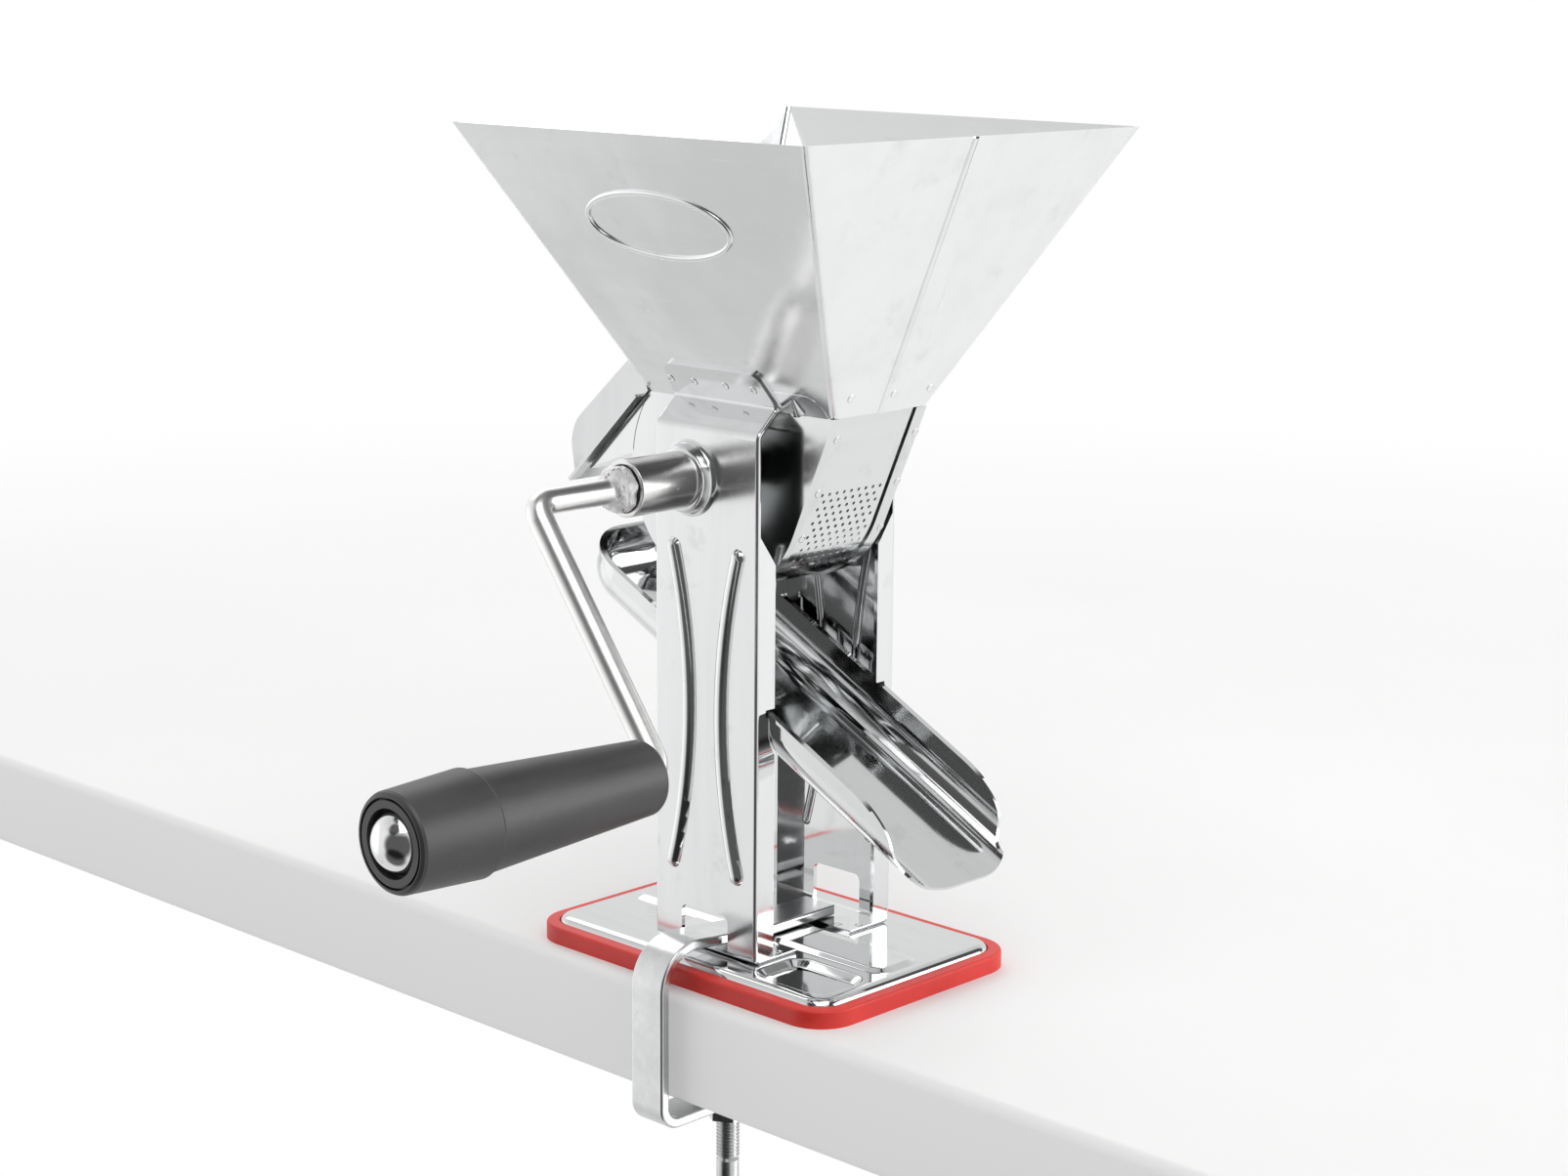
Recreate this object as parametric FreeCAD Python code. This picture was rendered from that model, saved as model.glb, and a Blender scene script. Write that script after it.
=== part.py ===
"""Hand-cranked food mill that clamps to a table edge.

Frame: origin on the table top under the middle of the base, +Z up, the crank and the
clamp on the -X side, the juice chute leaving towards -Y. All lengths are millimetres.
"""

import FreeCAD, Part
import math
import os

V = FreeCAD.Vector

# Clearances
FIT = 0.05           # running fit, on the radius
GAP = 0.3            # free space between pieces that move past each other
OVER = 1.0           # how far a cutting tool runs past a face

# Base plate and its rubber edging
GASKET_X = 49.2      # half size along X
GASKET_Y = 70.5      # half size along Y
GASKET_CORNER = 14.0
GASKET_TALL = 6.1
GASKET_LIP = 4.6     # rubber outside the plate's skirt
GASKET_INSIDE = 2.2  # rubber inside the plate's skirt
GROOVE_FLOOR = 2.2
BASE_SHEET = 1.5
BASE_TOP = 8.0
BASE_ROUND = 3.5
RIB_WIDTH = 22.0     # at its foot
RIB_SLOPE = 2.5      # how far its sides lean in
RIB_TALL = 1.3
RIB_ROUND = 7.0
RIB_END = 5.0        # from the skirt to the end of the middle rib
DISH_DEEP = 2.2
DISH_X = 12.0        # half size of a sunk dish's opening along X
DISH_Y = 17.0
DISH_CORNER = 7.0
DISH_SLOPE = 3.2     # how far its sides lean in
PRESS_ROUND = 2.0    # rounding where the sheet is pressed up or down
DISH_MIDDLE_X = 27.0
DISH_MIDDLE_Y = 43.8

# Shaft axis, which sets the height of the drum, the hopper and the tops of the legs
AXIS_Y = 6.5
AXIS_Z = 170.0

# Legs
LEG_SHEET = 1.5
LEG_OUT = 33.6       # outer face of each leg, from the middle
LEG_FRONT = -25.0
LEG_REAR = 23.0
LEG_EDGE_ROUND = 1.2
BEND_ABOVE = 17.0    # from the axis up to where the panel turns in towards the hopper
FOOT_WIDE = 20.0
FLANGE_WIDE = 8.6
FLANGE_BELOW = 16.0  # from the axis down to the top of a leg's side flanges
FLANGE_CHAMFER = 10.0
TAB_TALL = 11.5
TAB_TAPER = 4.5
TAB_CORNER = 4.0
WINDOW_FRONT = -12.0
WINDOW_REAR = 10.0
WINDOW_TOP = 22.5
WINDOW_CORNER = 2.5
BEAD_HIGH = 2.0      # pressed rib that stands out of the panel
BEAD_BELOW = 24.0    # from the axis down to the top of a rib
BEAD_BOTTOM = 37.5
BEAD_BOW = 7.5       # how far a rib bows towards the middle of the panel
BEAD_END = 15.0      # distance of a rib's ends from the panel's middle line
COLLAR_WALL = 1.2
COLLAR_LONG = 2.8

# Hopper
SHEET = 1.0
HOPPER_TALL = 90.5
HOPPER_ABOVE = 24.5  # from the axis up to the hopper's lower edge
HOPPER_CORNER = 2.6  # rounding of the upright corners, outside
HOPPER_RIM_X = 80.0  # half size of the rim along X
HOPPER_RIM_FRONT = -89.0
HOPPER_RIM_REAR = 71.0
THROAT_X = 22.5
THROAT_FRONT = -48.3
THROAT_REAR = 37.8
SEAM_X = -3.5        # edge of the lap seam at the rim
LAP_WIDE = 10.0
LAP_SHEET = 0.8
LAP_ROUND = 0.5
OVAL_Y = 32.5        # half sizes of the blank oval pressed into the crank side
OVAL_HIGH = 13.5
OVAL_LINE = 2.0
OVAL_PROUD = 0.8
OVAL_ROUND = 0.6
OVAL_MIDDLE_Y = -7.5
OVAL_BELOW = 29.5    # from the rim down to the oval's middle

# Pressing drum round the shaft's axis
DRUM_R = 39.5        # outside of the screen
SCREEN_SHEET = 0.8
SCREEN_TAB = 9.0     # upper edge lapped inside the hopper
SCREEN_END = -62.0   # angle where the screen meets the rear apron
DRUM_FLANGE = 8.0
STRIP_SHEET = 0.7    # edge of each cheek, folded over the screen
STRIP_NEAR = 3.3
STRIP_FAR = 5.0
OUTLET_LOW = 4.0     # angle where the drum opens to the rear
HOLE_R = 0.65
HOLE_STEP = 3.5
HOLE_ROW = 2.7
HOLES_ACROSS = 9
HOLES_BELOW = 3.0    # from the axis down to the first row

# Skin outlet at the rear
TONGUE_Y = 67.0
TONGUE_BELOW = 5.5
TONGUE_BEND = 3.0
HOOD_FLANGE = 10.0
HOOD_ABOVE = 13.0    # from the hopper's lower edge up to where the hood leaves its wall
HOOD_KNEE_Y = 77.0
KNEE_ABOVE = 7.5
HOOD_KNEE_R = 14.0
HOOD_TIP_Y = 74.0
TIP_BELOW = 10.5
HOOD_LIP = 3.5
HOOD_SLIT = 1.0      # between the hood's cheeks and the tongue's side walls

# Roller, shaft and bearings
SHAFT_R = 6.0
TUBE_R = 9.5
TUBE_BORE = 7.8
TUBE_END = 63.5      # outer end of the bearing tube
TUBE_IN = 31.5
FAR_FLANGE_R = 13.0
FAR_FLANGE = 2.0
WASHER_R = 10.0
WASHER = 1.6
CLIP_R = 9.0
CLIP = 1.2
CLIP_GROOVE = 0.8
SHAFT_TAIL = 4.0
ROLLER_R = 26.0
ROLLER_SIDE_GAP = 0.5
SLOT_WIDE = 3.4
SLOT_FLOOR = 10.0
VANES = 4
VANE_THICK = 3.0
VANE_ROOT = 13.5
VANE_TIP_GAP = 0.35
VANE_SHOULDER_GAP = 0.5
SPRING_SHEET = 0.6
SPRING_LONG = 34.0
PIN_R = 2.0

# Crank
ROD_R = 4.25
ARM_OUT = 38.5       # plane of the arm, from the outer end of the bearing tube
ARM_LONG = 95.2
ARM_TILT = 37.0      # swing of the arm from hanging straight down, towards the front
ROD_BEND = 6.0
WELD_R = 7.6
WELD_LONG = 8.0
WELD_GAP = 0.7       # dark slit between the bearing tube and the weld
SHAFT_STUB = 2.0
GRIP_LONG = 98.5
GRIP_INNER_R = 11.8
GRIP_WAIST_R = 15.6
GRIP_STEP_R = 16.5
GRIP_END_R = 15.2
GRIP_HEAD = 29.0     # length of the thicker outer end
GRIP_ROUND = 1.5
GRIP_RECESS_R = 10.3
GRIP_RECESS = 3.0
GRIP_GROOVE_R = 12.6  # ring groove in the end face
GRIP_GROOVE = 0.8
CAP_R = 9.6
CAP_TALL = 7.0

# Juice chute
CHUTE_SLOPE = 26.9
CHUTE_RIM_Y = -25.0  # a point on the line of the rim
CHUTE_RIM_Z = 95.0
CHUTE_REAR = 103.0   # reach up the slope from that point
CHUTE_MOUTH = 80.0   # reach down the slope
CHUTE_FALL = 32.0    # length over which the walls come down to the mouth
CHUTE_TIP = 6.0      # floor left bare of walls at the mouth
CHUTE_HALF = 27.4    # half width outside the walls
CHUTE_LIP = 1.2
CHUTE_DEEP = 16.0
CHUTE_SHEET = 1.0
CHUTE_FLOOR_ROUND = 10.5
CHUTE_REAR_ROUND = 20.0
CHUTE_MOUTH_ROUND = 22.0
CHUTE_NOTCH = 0.6    # room round the chute in the leg flanges
CHUTE_SEAT = 0.3     # room under the chute where it rests in the notches

# Table clamp
STRAP_WIDE = 15.0
STRAP_THICK = 3.6
STRAP_EDGE = 0.9     # rounding of its long edges
STRAP_FRONT = -10.0
STRAP_TAIL_X = 22.0
STRAP_KINK_X = -10.0
STRAP_RISE = 5.5     # slope of the arm that climbs through the leg window
STRAP_BACK_X = -60.5
STRAP_UNDER_Z = -45.7
STRAP_TOE_X = -12.0
STRAP_TOP_BEND = 14.0
STRAP_LOW_BEND = 6.5
STRAP_KINK_BEND = 40.0
SCREW_X = -23.5
SCREW_R = 4.0
SCREW_TIP_R = 3.0
SCREW_PITCH = 1.25
THREAD_DEEP = 0.7
THREAD_LONG = 25.0
SCREW_LONG = 84.0
BOSS_R = 6.5
BOSS_TALL = 14.0
NUT_FLATS = 13.0
NUT_TALL = 6.5
PAD_R = 12.0
PAD_TALL = 4.0
PAD_SOCKET = 2.5
BAR_R = 3.0
BAR_LONG = 64.0
BAR_KNOB_R = 4.2

# Values worked out from the sizes above
LEG_BEND = AXIS_Z + BEND_ABOVE
FLANGE_TOP = AXIS_Z - FLANGE_BELOW
BEAD_TOP = AXIS_Z - BEAD_BELOW
HOPPER_FLOOR = AXIS_Z + HOPPER_ABOVE
HOPPER_TOP = HOPPER_FLOOR + HOPPER_TALL
OVAL_MIDDLE_Z = HOPPER_TOP - OVAL_BELOW
HOLE_TOP = AXIS_Z - HOLES_BELOW
TONGUE_Z = AXIS_Z - TONGUE_BELOW
HOOD_Z = HOPPER_FLOOR + HOOD_ABOVE
HOOD_KNEE_Z = AXIS_Z + KNEE_ABOVE
HOOD_TIP_Z = AXIS_Z - TIP_BELOW
ARM_X = TUBE_END + ARM_OUT
STRAP_MIDDLE_Y = STRAP_FRONT + STRAP_WIDE / 2
STRAP_LOW_Z = BASE_TOP + max(RIB_TALL, LEG_SHEET) + GAP
STRAP_UNDER_TOP = STRAP_UNDER_Z + STRAP_THICK / 2
PAD_LOW = STRAP_UNDER_TOP + 0.5
DRUM_IN = DRUM_R - SCREEN_SHEET
FLANGE_IN = DRUM_IN - SHEET
WALL_LEAN_X = (HOPPER_RIM_X - THROAT_X) / (HOPPER_TOP - HOPPER_FLOOR)
WALL_LEAN_FRONT = (THROAT_FRONT - HOPPER_RIM_FRONT) / (HOPPER_TOP - HOPPER_FLOOR)
WALL_LEAN_REAR = (HOPPER_RIM_REAR - THROAT_REAR) / (HOPPER_TOP - HOPPER_FLOOR)
FAR_COLLAR_END = LEG_OUT + COLLAR_LONG
FAR_WASHER_X = FAR_COLLAR_END + FAR_FLANGE + GAP
FAR_CLIP_X = FAR_WASHER_X + WASHER + FIT
WELD_X = TUBE_END + WELD_GAP
SHAFT_END = WELD_X + SHAFT_STUB
VANE_TIP = DRUM_IN - VANE_TIP_GAP
VANE_SHOULDER = FLANGE_IN - VANE_SHOULDER_GAP
GRIP_X = ARM_X + ROD_BEND + 0.7
CHUTE_WALL_FOOT = CHUTE_MOUTH - CHUTE_TIP
CHUTE_WALL_END = CHUTE_WALL_FOOT - CHUTE_FALL


def box(low, high):
    """A block between two corners."""
    size = [b - a for a, b in zip(low, high)]
    return Part.makeBox(size[0], size[1], size[2], V(*low))


def rod(start, end, radius):
    """A cylinder from one point to another."""
    path = V(*end) - V(*start)
    return Part.makeCylinder(radius, path.Length, V(*start), path)


def tube(start, end, outer, inner):
    """A hollow cylinder from one point to another."""
    return rod(start, end, outer).cut(rod(start, end, inner))


def on_shaft(x):
    """A point of the shaft's axis."""
    return (x, AXIS_Y, AXIS_Z)


def across_x(u, v, w):
    """Plane of Y and Z, with w along X."""
    return V(w, u, v)


def across_y(u, v, w):
    """Plane of X and Z, with w along Y."""
    return V(u, w, v)


def prism(points, place, low, high):
    """A polygon in a plane, drawn out from low to high along the plane's normal."""
    corners = [place(u, v, low) for u, v in points]
    face = Part.Face(Part.makePolygon(corners + corners[:1]))
    return face.extrude(place(0, 0, high) - place(0, 0, low))


def turn_of(points, i):
    """Unit directions into and out of a corner, and the signed turn there."""
    into = V(*points[i], 0) - V(*points[i - 1], 0)
    out = V(*points[i + 1], 0) - V(*points[i], 0)
    into.normalize()
    out.normalize()
    turn = math.atan2(into.cross(out).z, into.dot(out))
    return into, out, turn


def bent_path(points, radii, shift):
    """Edges, in two dimensions, of a polyline with rounded corners, moved sideways by shift."""
    marks = []
    last = len(points) - 1
    for i, point in enumerate(points):
        here = V(*point, 0)
        if i == 0 or i == last:
            a, b = (0, 1) if i == 0 else (last - 1, last)
            along = V(*points[b], 0) - V(*points[a], 0)
            along.normalize()
            marks.append([here + V(-along.y, along.x, 0) * shift])
            continue
        into, out, turn = turn_of(points, i)
        reach = radii[i - 1] * math.tan(abs(turn) / 2)
        side = math.copysign(1, turn)
        enter = here - into * reach
        leave = here + out * reach
        centre = enter + V(-into.y, into.x, 0) * (side * radii[i - 1])
        middle = here - centre
        middle.normalize()
        arc_r = radii[i - 1] - side * shift
        marks.append([
            enter + V(-into.y, into.x, 0) * shift,
            centre + middle * arc_r,
            leave + V(-out.y, out.x, 0) * shift,
        ])
    return marks


def draw(marks, place, level):
    """Lines and arcs through the marks of a bent path."""
    spots = [[place(p.x, p.y, level) for p in mark] for mark in marks]
    edges = []
    for i, mark in enumerate(spots):
        if len(mark) == 3:
            edges.append(Part.Arc(*mark).toShape())
        if i + 1 < len(spots):
            start = mark[-1]
            end = spots[i + 1][0]
            if start.distanceToPoint(end) > 1e-4:
                edges.append(Part.LineSegment(start, end).toShape())
    return edges, spots[0][0], spots[-1][-1]


def bent_sheet(points, radii, thick, place, low, high):
    """A sheet of even thickness whose middle follows a polyline with rounded corners."""
    left, left_start, left_end = draw(bent_path(points, radii, thick / 2), place, low)
    right, right_start, right_end = draw(bent_path(points, radii, -thick / 2), place, low)
    ends = [
        Part.LineSegment(left_end, right_end).toShape(),
        Part.LineSegment(right_start, left_start).toShape(),
    ]
    wire = Part.Wire(Part.__sortEdges__(left + right + ends))
    return Part.Face(wire).extrude(place(0, 0, high) - place(0, 0, low))


def rounded_block(half_x, half_y, corner, low, high, middle=(0, 0)):
    """An upright block with rounded corners in plan."""
    block = box((-half_x, -half_y, low), (half_x, half_y, high))
    uprights = [e for e in block.Edges if abs(e.tangentAt(e.FirstParameter).z) > 0.9]
    block = block.makeFillet(corner, uprights)
    block.translate(V(middle[0], middle[1], 0))
    return block


def round_edges(shape, radius, chosen):
    """Fillet the edges that a test picks."""
    return shape.makeFillet(radius, [e for e in shape.Edges if chosen(e)])


def flat_at(height):
    """A test for edges that lie level at a height."""
    return lambda e: all(abs(v.Point.z - height) < 1e-3 for v in e.Vertexes)


def mirrored(shape):
    """The same piece on the far side."""
    return shape.mirror(V(0, 0, 0), V(1, 0, 0))


def polar(radius, degrees):
    """A point, as Y and Z, at an angle round the shaft's axis from straight back."""
    angle = math.radians(degrees)
    return (AXIS_Y + radius * math.cos(angle), AXIS_Z + radius * math.sin(angle))


# Base


def skirt_half(inset):
    """Half sizes and corner of an outline inside the gasket's outer edge."""
    return GASKET_X - inset, GASKET_Y - inset, GASKET_CORNER - inset


def base_plate():
    outside = rounded_block(*skirt_half(GASKET_LIP), GROOVE_FLOOR, BASE_TOP)
    outside = round_edges(outside, BASE_ROUND, flat_at(BASE_TOP))
    inner_top = BASE_TOP - BASE_SHEET
    hollow = rounded_block(*skirt_half(GASKET_LIP + BASE_SHEET), GROOVE_FLOOR, inner_top)
    hollow = round_edges(hollow, BASE_ROUND - BASE_SHEET, flat_at(inner_top))
    plate = outside.cut(hollow)
    reach = GASKET_Y - GASKET_LIP - RIB_END
    foot = (RIB_WIDTH / 2, reach, RIB_ROUND)
    rib = leaning_block(foot, -RIB_SLOPE / RIB_TALL, BASE_TOP, BASE_TOP + RIB_TALL)
    rib = round_edges(rib, PRESS_ROUND, flat_at(BASE_TOP + RIB_TALL))
    under = rib.translated(V(0, 0, -BASE_SHEET))
    plate = plate.fuse(rib)
    plate = round_edges(plate, PRESS_ROUND, lambda e: flat_at(BASE_TOP)(e) and inside(e, foot, (0, 0)))
    plate = plate.cut(under)
    floor = BASE_TOP - DISH_DEEP
    mouth = (DISH_X, DISH_Y, DISH_CORNER)
    lean = DISH_SLOPE / DISH_DEEP
    for corner in (-1, 1):
        middle = (corner * DISH_MIDDLE_X, corner * DISH_MIDDLE_Y)
        sunk = leaning_block(mouth, -lean, BASE_TOP, floor, middle)
        bowl = sunk.translated(V(0, 0, -BASE_SHEET))
        plate = plate.fuse(bowl).cut(sunk)
        plate = round_edges(plate, PRESS_ROUND, lambda e: flat_at(floor)(e) and inside(e, mouth, middle))
        plate = round_edges(plate, PRESS_ROUND, lambda e: flat_at(BASE_TOP)(e) and inside(e, mouth, middle))
    return plate


def leaning_block(size, grow, level, end, middle=(0, 0)):
    """A block with rounded corners, whose sides lean out by grow for each unit away from its level."""
    def outline(z):
        more = grow * abs(z - level)
        block = rounded_block(*[value + more for value in size], z, z + OVER, middle)
        return next(f for f in block.Faces if flat_at(z)(f)).OuterWire
    return Part.makeLoft([outline(level), outline(end)], True, True)


def inside(edge, size, middle):
    """Whether an edge lies within an outline's half sizes."""
    box_of = edge.BoundBox
    far_x = max(abs(box_of.XMin - middle[0]), abs(box_of.XMax - middle[0]))
    far_y = max(abs(box_of.YMin - middle[1]), abs(box_of.YMax - middle[1]))
    return far_x < size[0] + FIT and far_y < size[1] + FIT


def base_gasket():
    ring = rounded_block(*skirt_half(0), 0, GASKET_TALL)
    ring = round_edges(ring, 1.0, flat_at(GASKET_TALL))
    middle = rounded_block(*skirt_half(GASKET_LIP + BASE_SHEET + GASKET_INSIDE), -OVER, GASKET_TALL + OVER)
    groove_out = rounded_block(*skirt_half(GASKET_LIP - FIT), GROOVE_FLOOR, GASKET_TALL + OVER)
    groove_in = rounded_block(*skirt_half(GASKET_LIP + BASE_SHEET + FIT), GROOVE_FLOOR, GASKET_TALL + OVER)
    inner_top = BASE_TOP - BASE_ROUND - GAP
    under_bend = rounded_block(*skirt_half(GASKET_LIP), inner_top, GASKET_TALL + OVER)
    return ring.cut(middle).cut(groove_out.cut(groove_in)).cut(under_bend)


# Legs


def chute_tunnel(room, under):
    """The space that the chute slides through, with room round it."""
    half = CHUTE_HALF + room
    lip = half + CHUTE_LIP
    tunnel = box((-half, -CHUTE_MOUTH, -CHUTE_DEEP - under), (half, CHUTE_REAR, room))
    tunnel = round_edges(
        tunnel, CHUTE_FLOOR_ROUND,
        lambda e: flat_at(-CHUTE_DEEP - under)(e) and abs(e.tangentAt(e.FirstParameter).y) > 0.9)
    slot = box((-lip, -CHUTE_MOUTH, -CHUTE_SHEET - room), (lip, CHUTE_REAR, room))
    return on_slope(tunnel.fuse(slot))


def on_slope(shape):
    """Move a level shape onto the chute's slope, with its zero point on the line of the rim."""
    shape = shape.copy()
    shape.rotate(V(0, 0, 0), V(1, 0, 0), CHUTE_SLOPE)
    shape.translate(V(0, CHUTE_RIM_Y, CHUTE_RIM_Z))
    return shape


def pressed_rib(side):
    """A bowed rib pressed out of the panel, and the groove behind it."""
    middle_z = (BEAD_TOP + BEAD_BOTTOM) / 2
    half = (BEAD_TOP - BEAD_BOTTOM) / 2
    bow_r = (half * half + BEAD_BOW * BEAD_BOW) / (2 * BEAD_BOW)
    panel_middle = (LEG_FRONT + LEG_REAR) / 2
    end_y = panel_middle + side * BEAD_END
    face_in = -LEG_OUT + LEG_SHEET
    spread = math.degrees(math.asin(half / bow_r))
    centre_y = end_y - side * BEAD_BOW + side * bow_r
    centre = V(face_in, centre_y, middle_z)
    shapes = []
    for radius in (BEAD_HIGH + LEG_SHEET, BEAD_HIGH):
        ring = Part.makeTorus(bow_r, radius, V(0, 0, 0), V(0, 0, 1), -180, 180, 2 * spread)
        facing = 180 if side > 0 else 0
        ring.rotate(V(0, 0, 0), V(0, 0, 1), facing - spread)
        ring.rotate(V(0, 0, 0), V(0, 1, 0), 90)
        ring.rotate(V(0, 0, 0), V(1, 0, 0), 90)
        ring.translate(centre)
        for end_z in (BEAD_TOP, BEAD_BOTTOM):
            ring = ring.fuse(Part.makeSphere(radius, V(face_in, end_y, end_z)))
        shapes.append(ring)
    return shapes


def outer_upright(edge):
    """Whether an edge runs up a leg's outer face."""
    upright = abs(edge.tangentAt(edge.FirstParameter).z) > 0.9
    return upright and all(abs(v.Point.x + LEG_OUT) < 1e-3 for v in edge.Vertexes)


def on_side(edge, y):
    return all(abs(v.Point.y - y) < 1e-3 for v in edge.Vertexes)


def leg():
    """The crank-side leg: panel, foot, tab on the hopper, flanges, window, ribs and collar."""
    middle_x = -LEG_OUT + LEG_SHEET / 2
    foot_z = BASE_TOP + LEG_SHEET / 2
    shift = LEG_SHEET / 2 * math.sqrt(1 + WALL_LEAN_X * WALL_LEAN_X)
    tab_low = HOPPER_FLOOR + 0.8
    tab_high = HOPPER_FLOOR + TAB_TALL + 1.0
    tab_points = [(-THROAT_X - WALL_LEAN_X * (z - HOPPER_FLOOR) - shift, z) for z in (tab_low, tab_high)]
    path = [
        (-LEG_OUT + FOOT_WIDE, foot_z),
        (middle_x, foot_z),
        (middle_x, LEG_BEND),
        tab_points[0],
        tab_points[1],
    ]
    panel = bent_sheet(path, [2.0, 3.0, 2.0], LEG_SHEET, across_y, LEG_FRONT, LEG_REAR)
    panel = round_edges(panel, LEG_EDGE_ROUND, outer_upright)
    far = HOPPER_FLOOR + TAB_TALL + 5.0
    for edge, inward in ((LEG_FRONT, 1), (LEG_REAR, -0.5)):
        outside = edge - math.copysign(OVER, inward)
        corner = [(outside, tab_low), (edge, tab_low), (edge + inward * TAB_TAPER, far), (outside, far)]
        panel = panel.cut(prism(corner, across_x, -LEG_OUT - OVER, -THROAT_X))
    panel = round_edges(
        panel, TAB_CORNER,
        lambda e: e.Length < 1.2 * LEG_SHEET and all(v.Point.z > tab_high - LEG_SHEET for v in e.Vertexes))
    face_in = -LEG_OUT + LEG_SHEET
    for edge, inward in ((LEG_FRONT, 1), (LEG_REAR, -1)):
        tip = -LEG_OUT + FLANGE_WIDE
        root = face_in - LEG_SHEET
        outline = [
            (root, BASE_TOP + LEG_SHEET),
            (tip, BASE_TOP + LEG_SHEET),
            (tip, FLANGE_TOP - FLANGE_CHAMFER),
            (face_in, FLANGE_TOP),
            (root, FLANGE_TOP),
        ]
        low, high = sorted((edge, edge + inward * LEG_SHEET))
        flange = prism(outline, across_y, low, high)
        flange = round_edges(flange, LEG_EDGE_ROUND, lambda e: outer_upright(e) and on_side(e, edge))
        panel = panel.fuse(flange)
    panel = panel.removeSplitter()
    tunnel = chute_tunnel(CHUTE_NOTCH, CHUTE_SEAT)
    panel = panel.cut(tunnel)
    sill = BASE_TOP + LEG_SHEET
    window = box((-LEG_OUT - OVER, WINDOW_FRONT, sill), (face_in + OVER, WINDOW_REAR, WINDOW_TOP))
    window = round_edges(
        window, WINDOW_CORNER,
        lambda e: abs(e.tangentAt(e.FirstParameter).x) > 0.9 and e.Vertexes[0].Point.z > sill + LEG_SHEET)
    panel = panel.cut(window)
    keep = box((-LEG_OUT - 2 * BEAD_HIGH, LEG_FRONT, BASE_TOP), (face_in, LEG_REAR, LEG_BEND))
    for side in (-1, 1):
        proud, groove = pressed_rib(side)
        panel = panel.fuse(proud.common(keep)).cut(groove)
    bore = TUBE_R
    collar_end = -LEG_OUT - COLLAR_LONG
    collar = rod(on_shaft(collar_end), on_shaft(-LEG_OUT), bore + COLLAR_WALL)
    collar = round_edges(collar, COLLAR_WALL / 2, lambda e: abs(e.Vertexes[0].Point.x - collar_end) < 1e-3)
    panel = panel.fuse(collar)
    return panel.cut(rod(on_shaft(-LEG_OUT - 2 * COLLAR_LONG), on_shaft(face_in + OVER), bore))


# Hopper


def frustum(inset, top, floor):
    """The hopper's outline at a wall inset, as a closed block."""
    def ring(z):
        drop = z - HOPPER_FLOOR
        x = THROAT_X + WALL_LEAN_X * drop - inset * math.hypot(1, WALL_LEAN_X)
        front = THROAT_FRONT - WALL_LEAN_FRONT * drop + inset * math.hypot(1, WALL_LEAN_FRONT)
        rear = THROAT_REAR + WALL_LEAN_REAR * drop - inset * math.hypot(1, WALL_LEAN_REAR)
        corners = [V(-x, front, z), V(x, front, z), V(x, rear, z), V(-x, rear, z)]
        return Part.makePolygon(corners + corners[:1])
    block = Part.makeLoft([ring(floor), ring(top)], True, True)
    return round_edges(block, HOPPER_CORNER - inset, lambda e: abs(e.tangentAt(e.FirstParameter).z) > 0.2)


def hopper_shell():
    hollow = frustum(SHEET, HOPPER_TOP + OVER, HOPPER_FLOOR - OVER)
    return frustum(0, HOPPER_TOP, HOPPER_FLOOR).cut(hollow)


def lap_strips():
    """Overlapping edges of the far half, lying on the crank half at the front and rear seams."""
    skin = frustum(-LAP_SHEET, HOPPER_TOP, HOPPER_FLOOR).cut(frustum(0, HOPPER_TOP, HOPPER_FLOOR))
    taper = SEAM_X * THROAT_X / HOPPER_RIM_X
    outline = [
        (SEAM_X, HOPPER_TOP),
        (SEAM_X + LAP_WIDE, HOPPER_TOP),
        (taper + LAP_WIDE, HOPPER_FLOOR),
        (taper, HOPPER_FLOOR),
    ]
    front = prism(outline, across_y, HOPPER_RIM_FRONT - OVER, 0)
    rear_low = HOOD_Z + 2 * HOOD_FLANGE
    rear_box = box((-HOPPER_RIM_X, 0, rear_low), (HOPPER_RIM_X, HOPPER_RIM_REAR + OVER, HOPPER_TOP))
    rear = prism(outline, across_y, 0, HOPPER_RIM_REAR + OVER).common(rear_box)
    strips = [round_edges(skin.common(part), LAP_ROUND, on_lap) for part in (front, rear)]
    return strips[0].fuse(strips[1])


def on_lap(edge):
    """Whether an edge runs up the outer face of a lap strip."""
    middle = edge.valueAt((edge.FirstParameter + edge.LastParameter) / 2)
    drop = middle.z - HOPPER_FLOOR
    front = THROAT_FRONT - WALL_LEAN_FRONT * drop
    rear = THROAT_REAR + WALL_LEAN_REAR * drop
    proud = middle.y < front - LAP_SHEET / 2 or middle.y > rear + LAP_SHEET / 2
    return proud and abs(edge.tangentAt(edge.FirstParameter).z) > 0.5


def seam_side(sign):
    """Everything on one side of the butt line under the lap."""
    butt = SEAM_X + LAP_WIDE * 0.7
    far = sign * 2 * HOPPER_RIM_X
    low, high = sorted((butt, far))
    return box((low, HOPPER_RIM_FRONT - 5, HOPPER_FLOOR - 5), (high, HOPPER_RIM_REAR + 5, HOPPER_TOP + 5))


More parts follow.
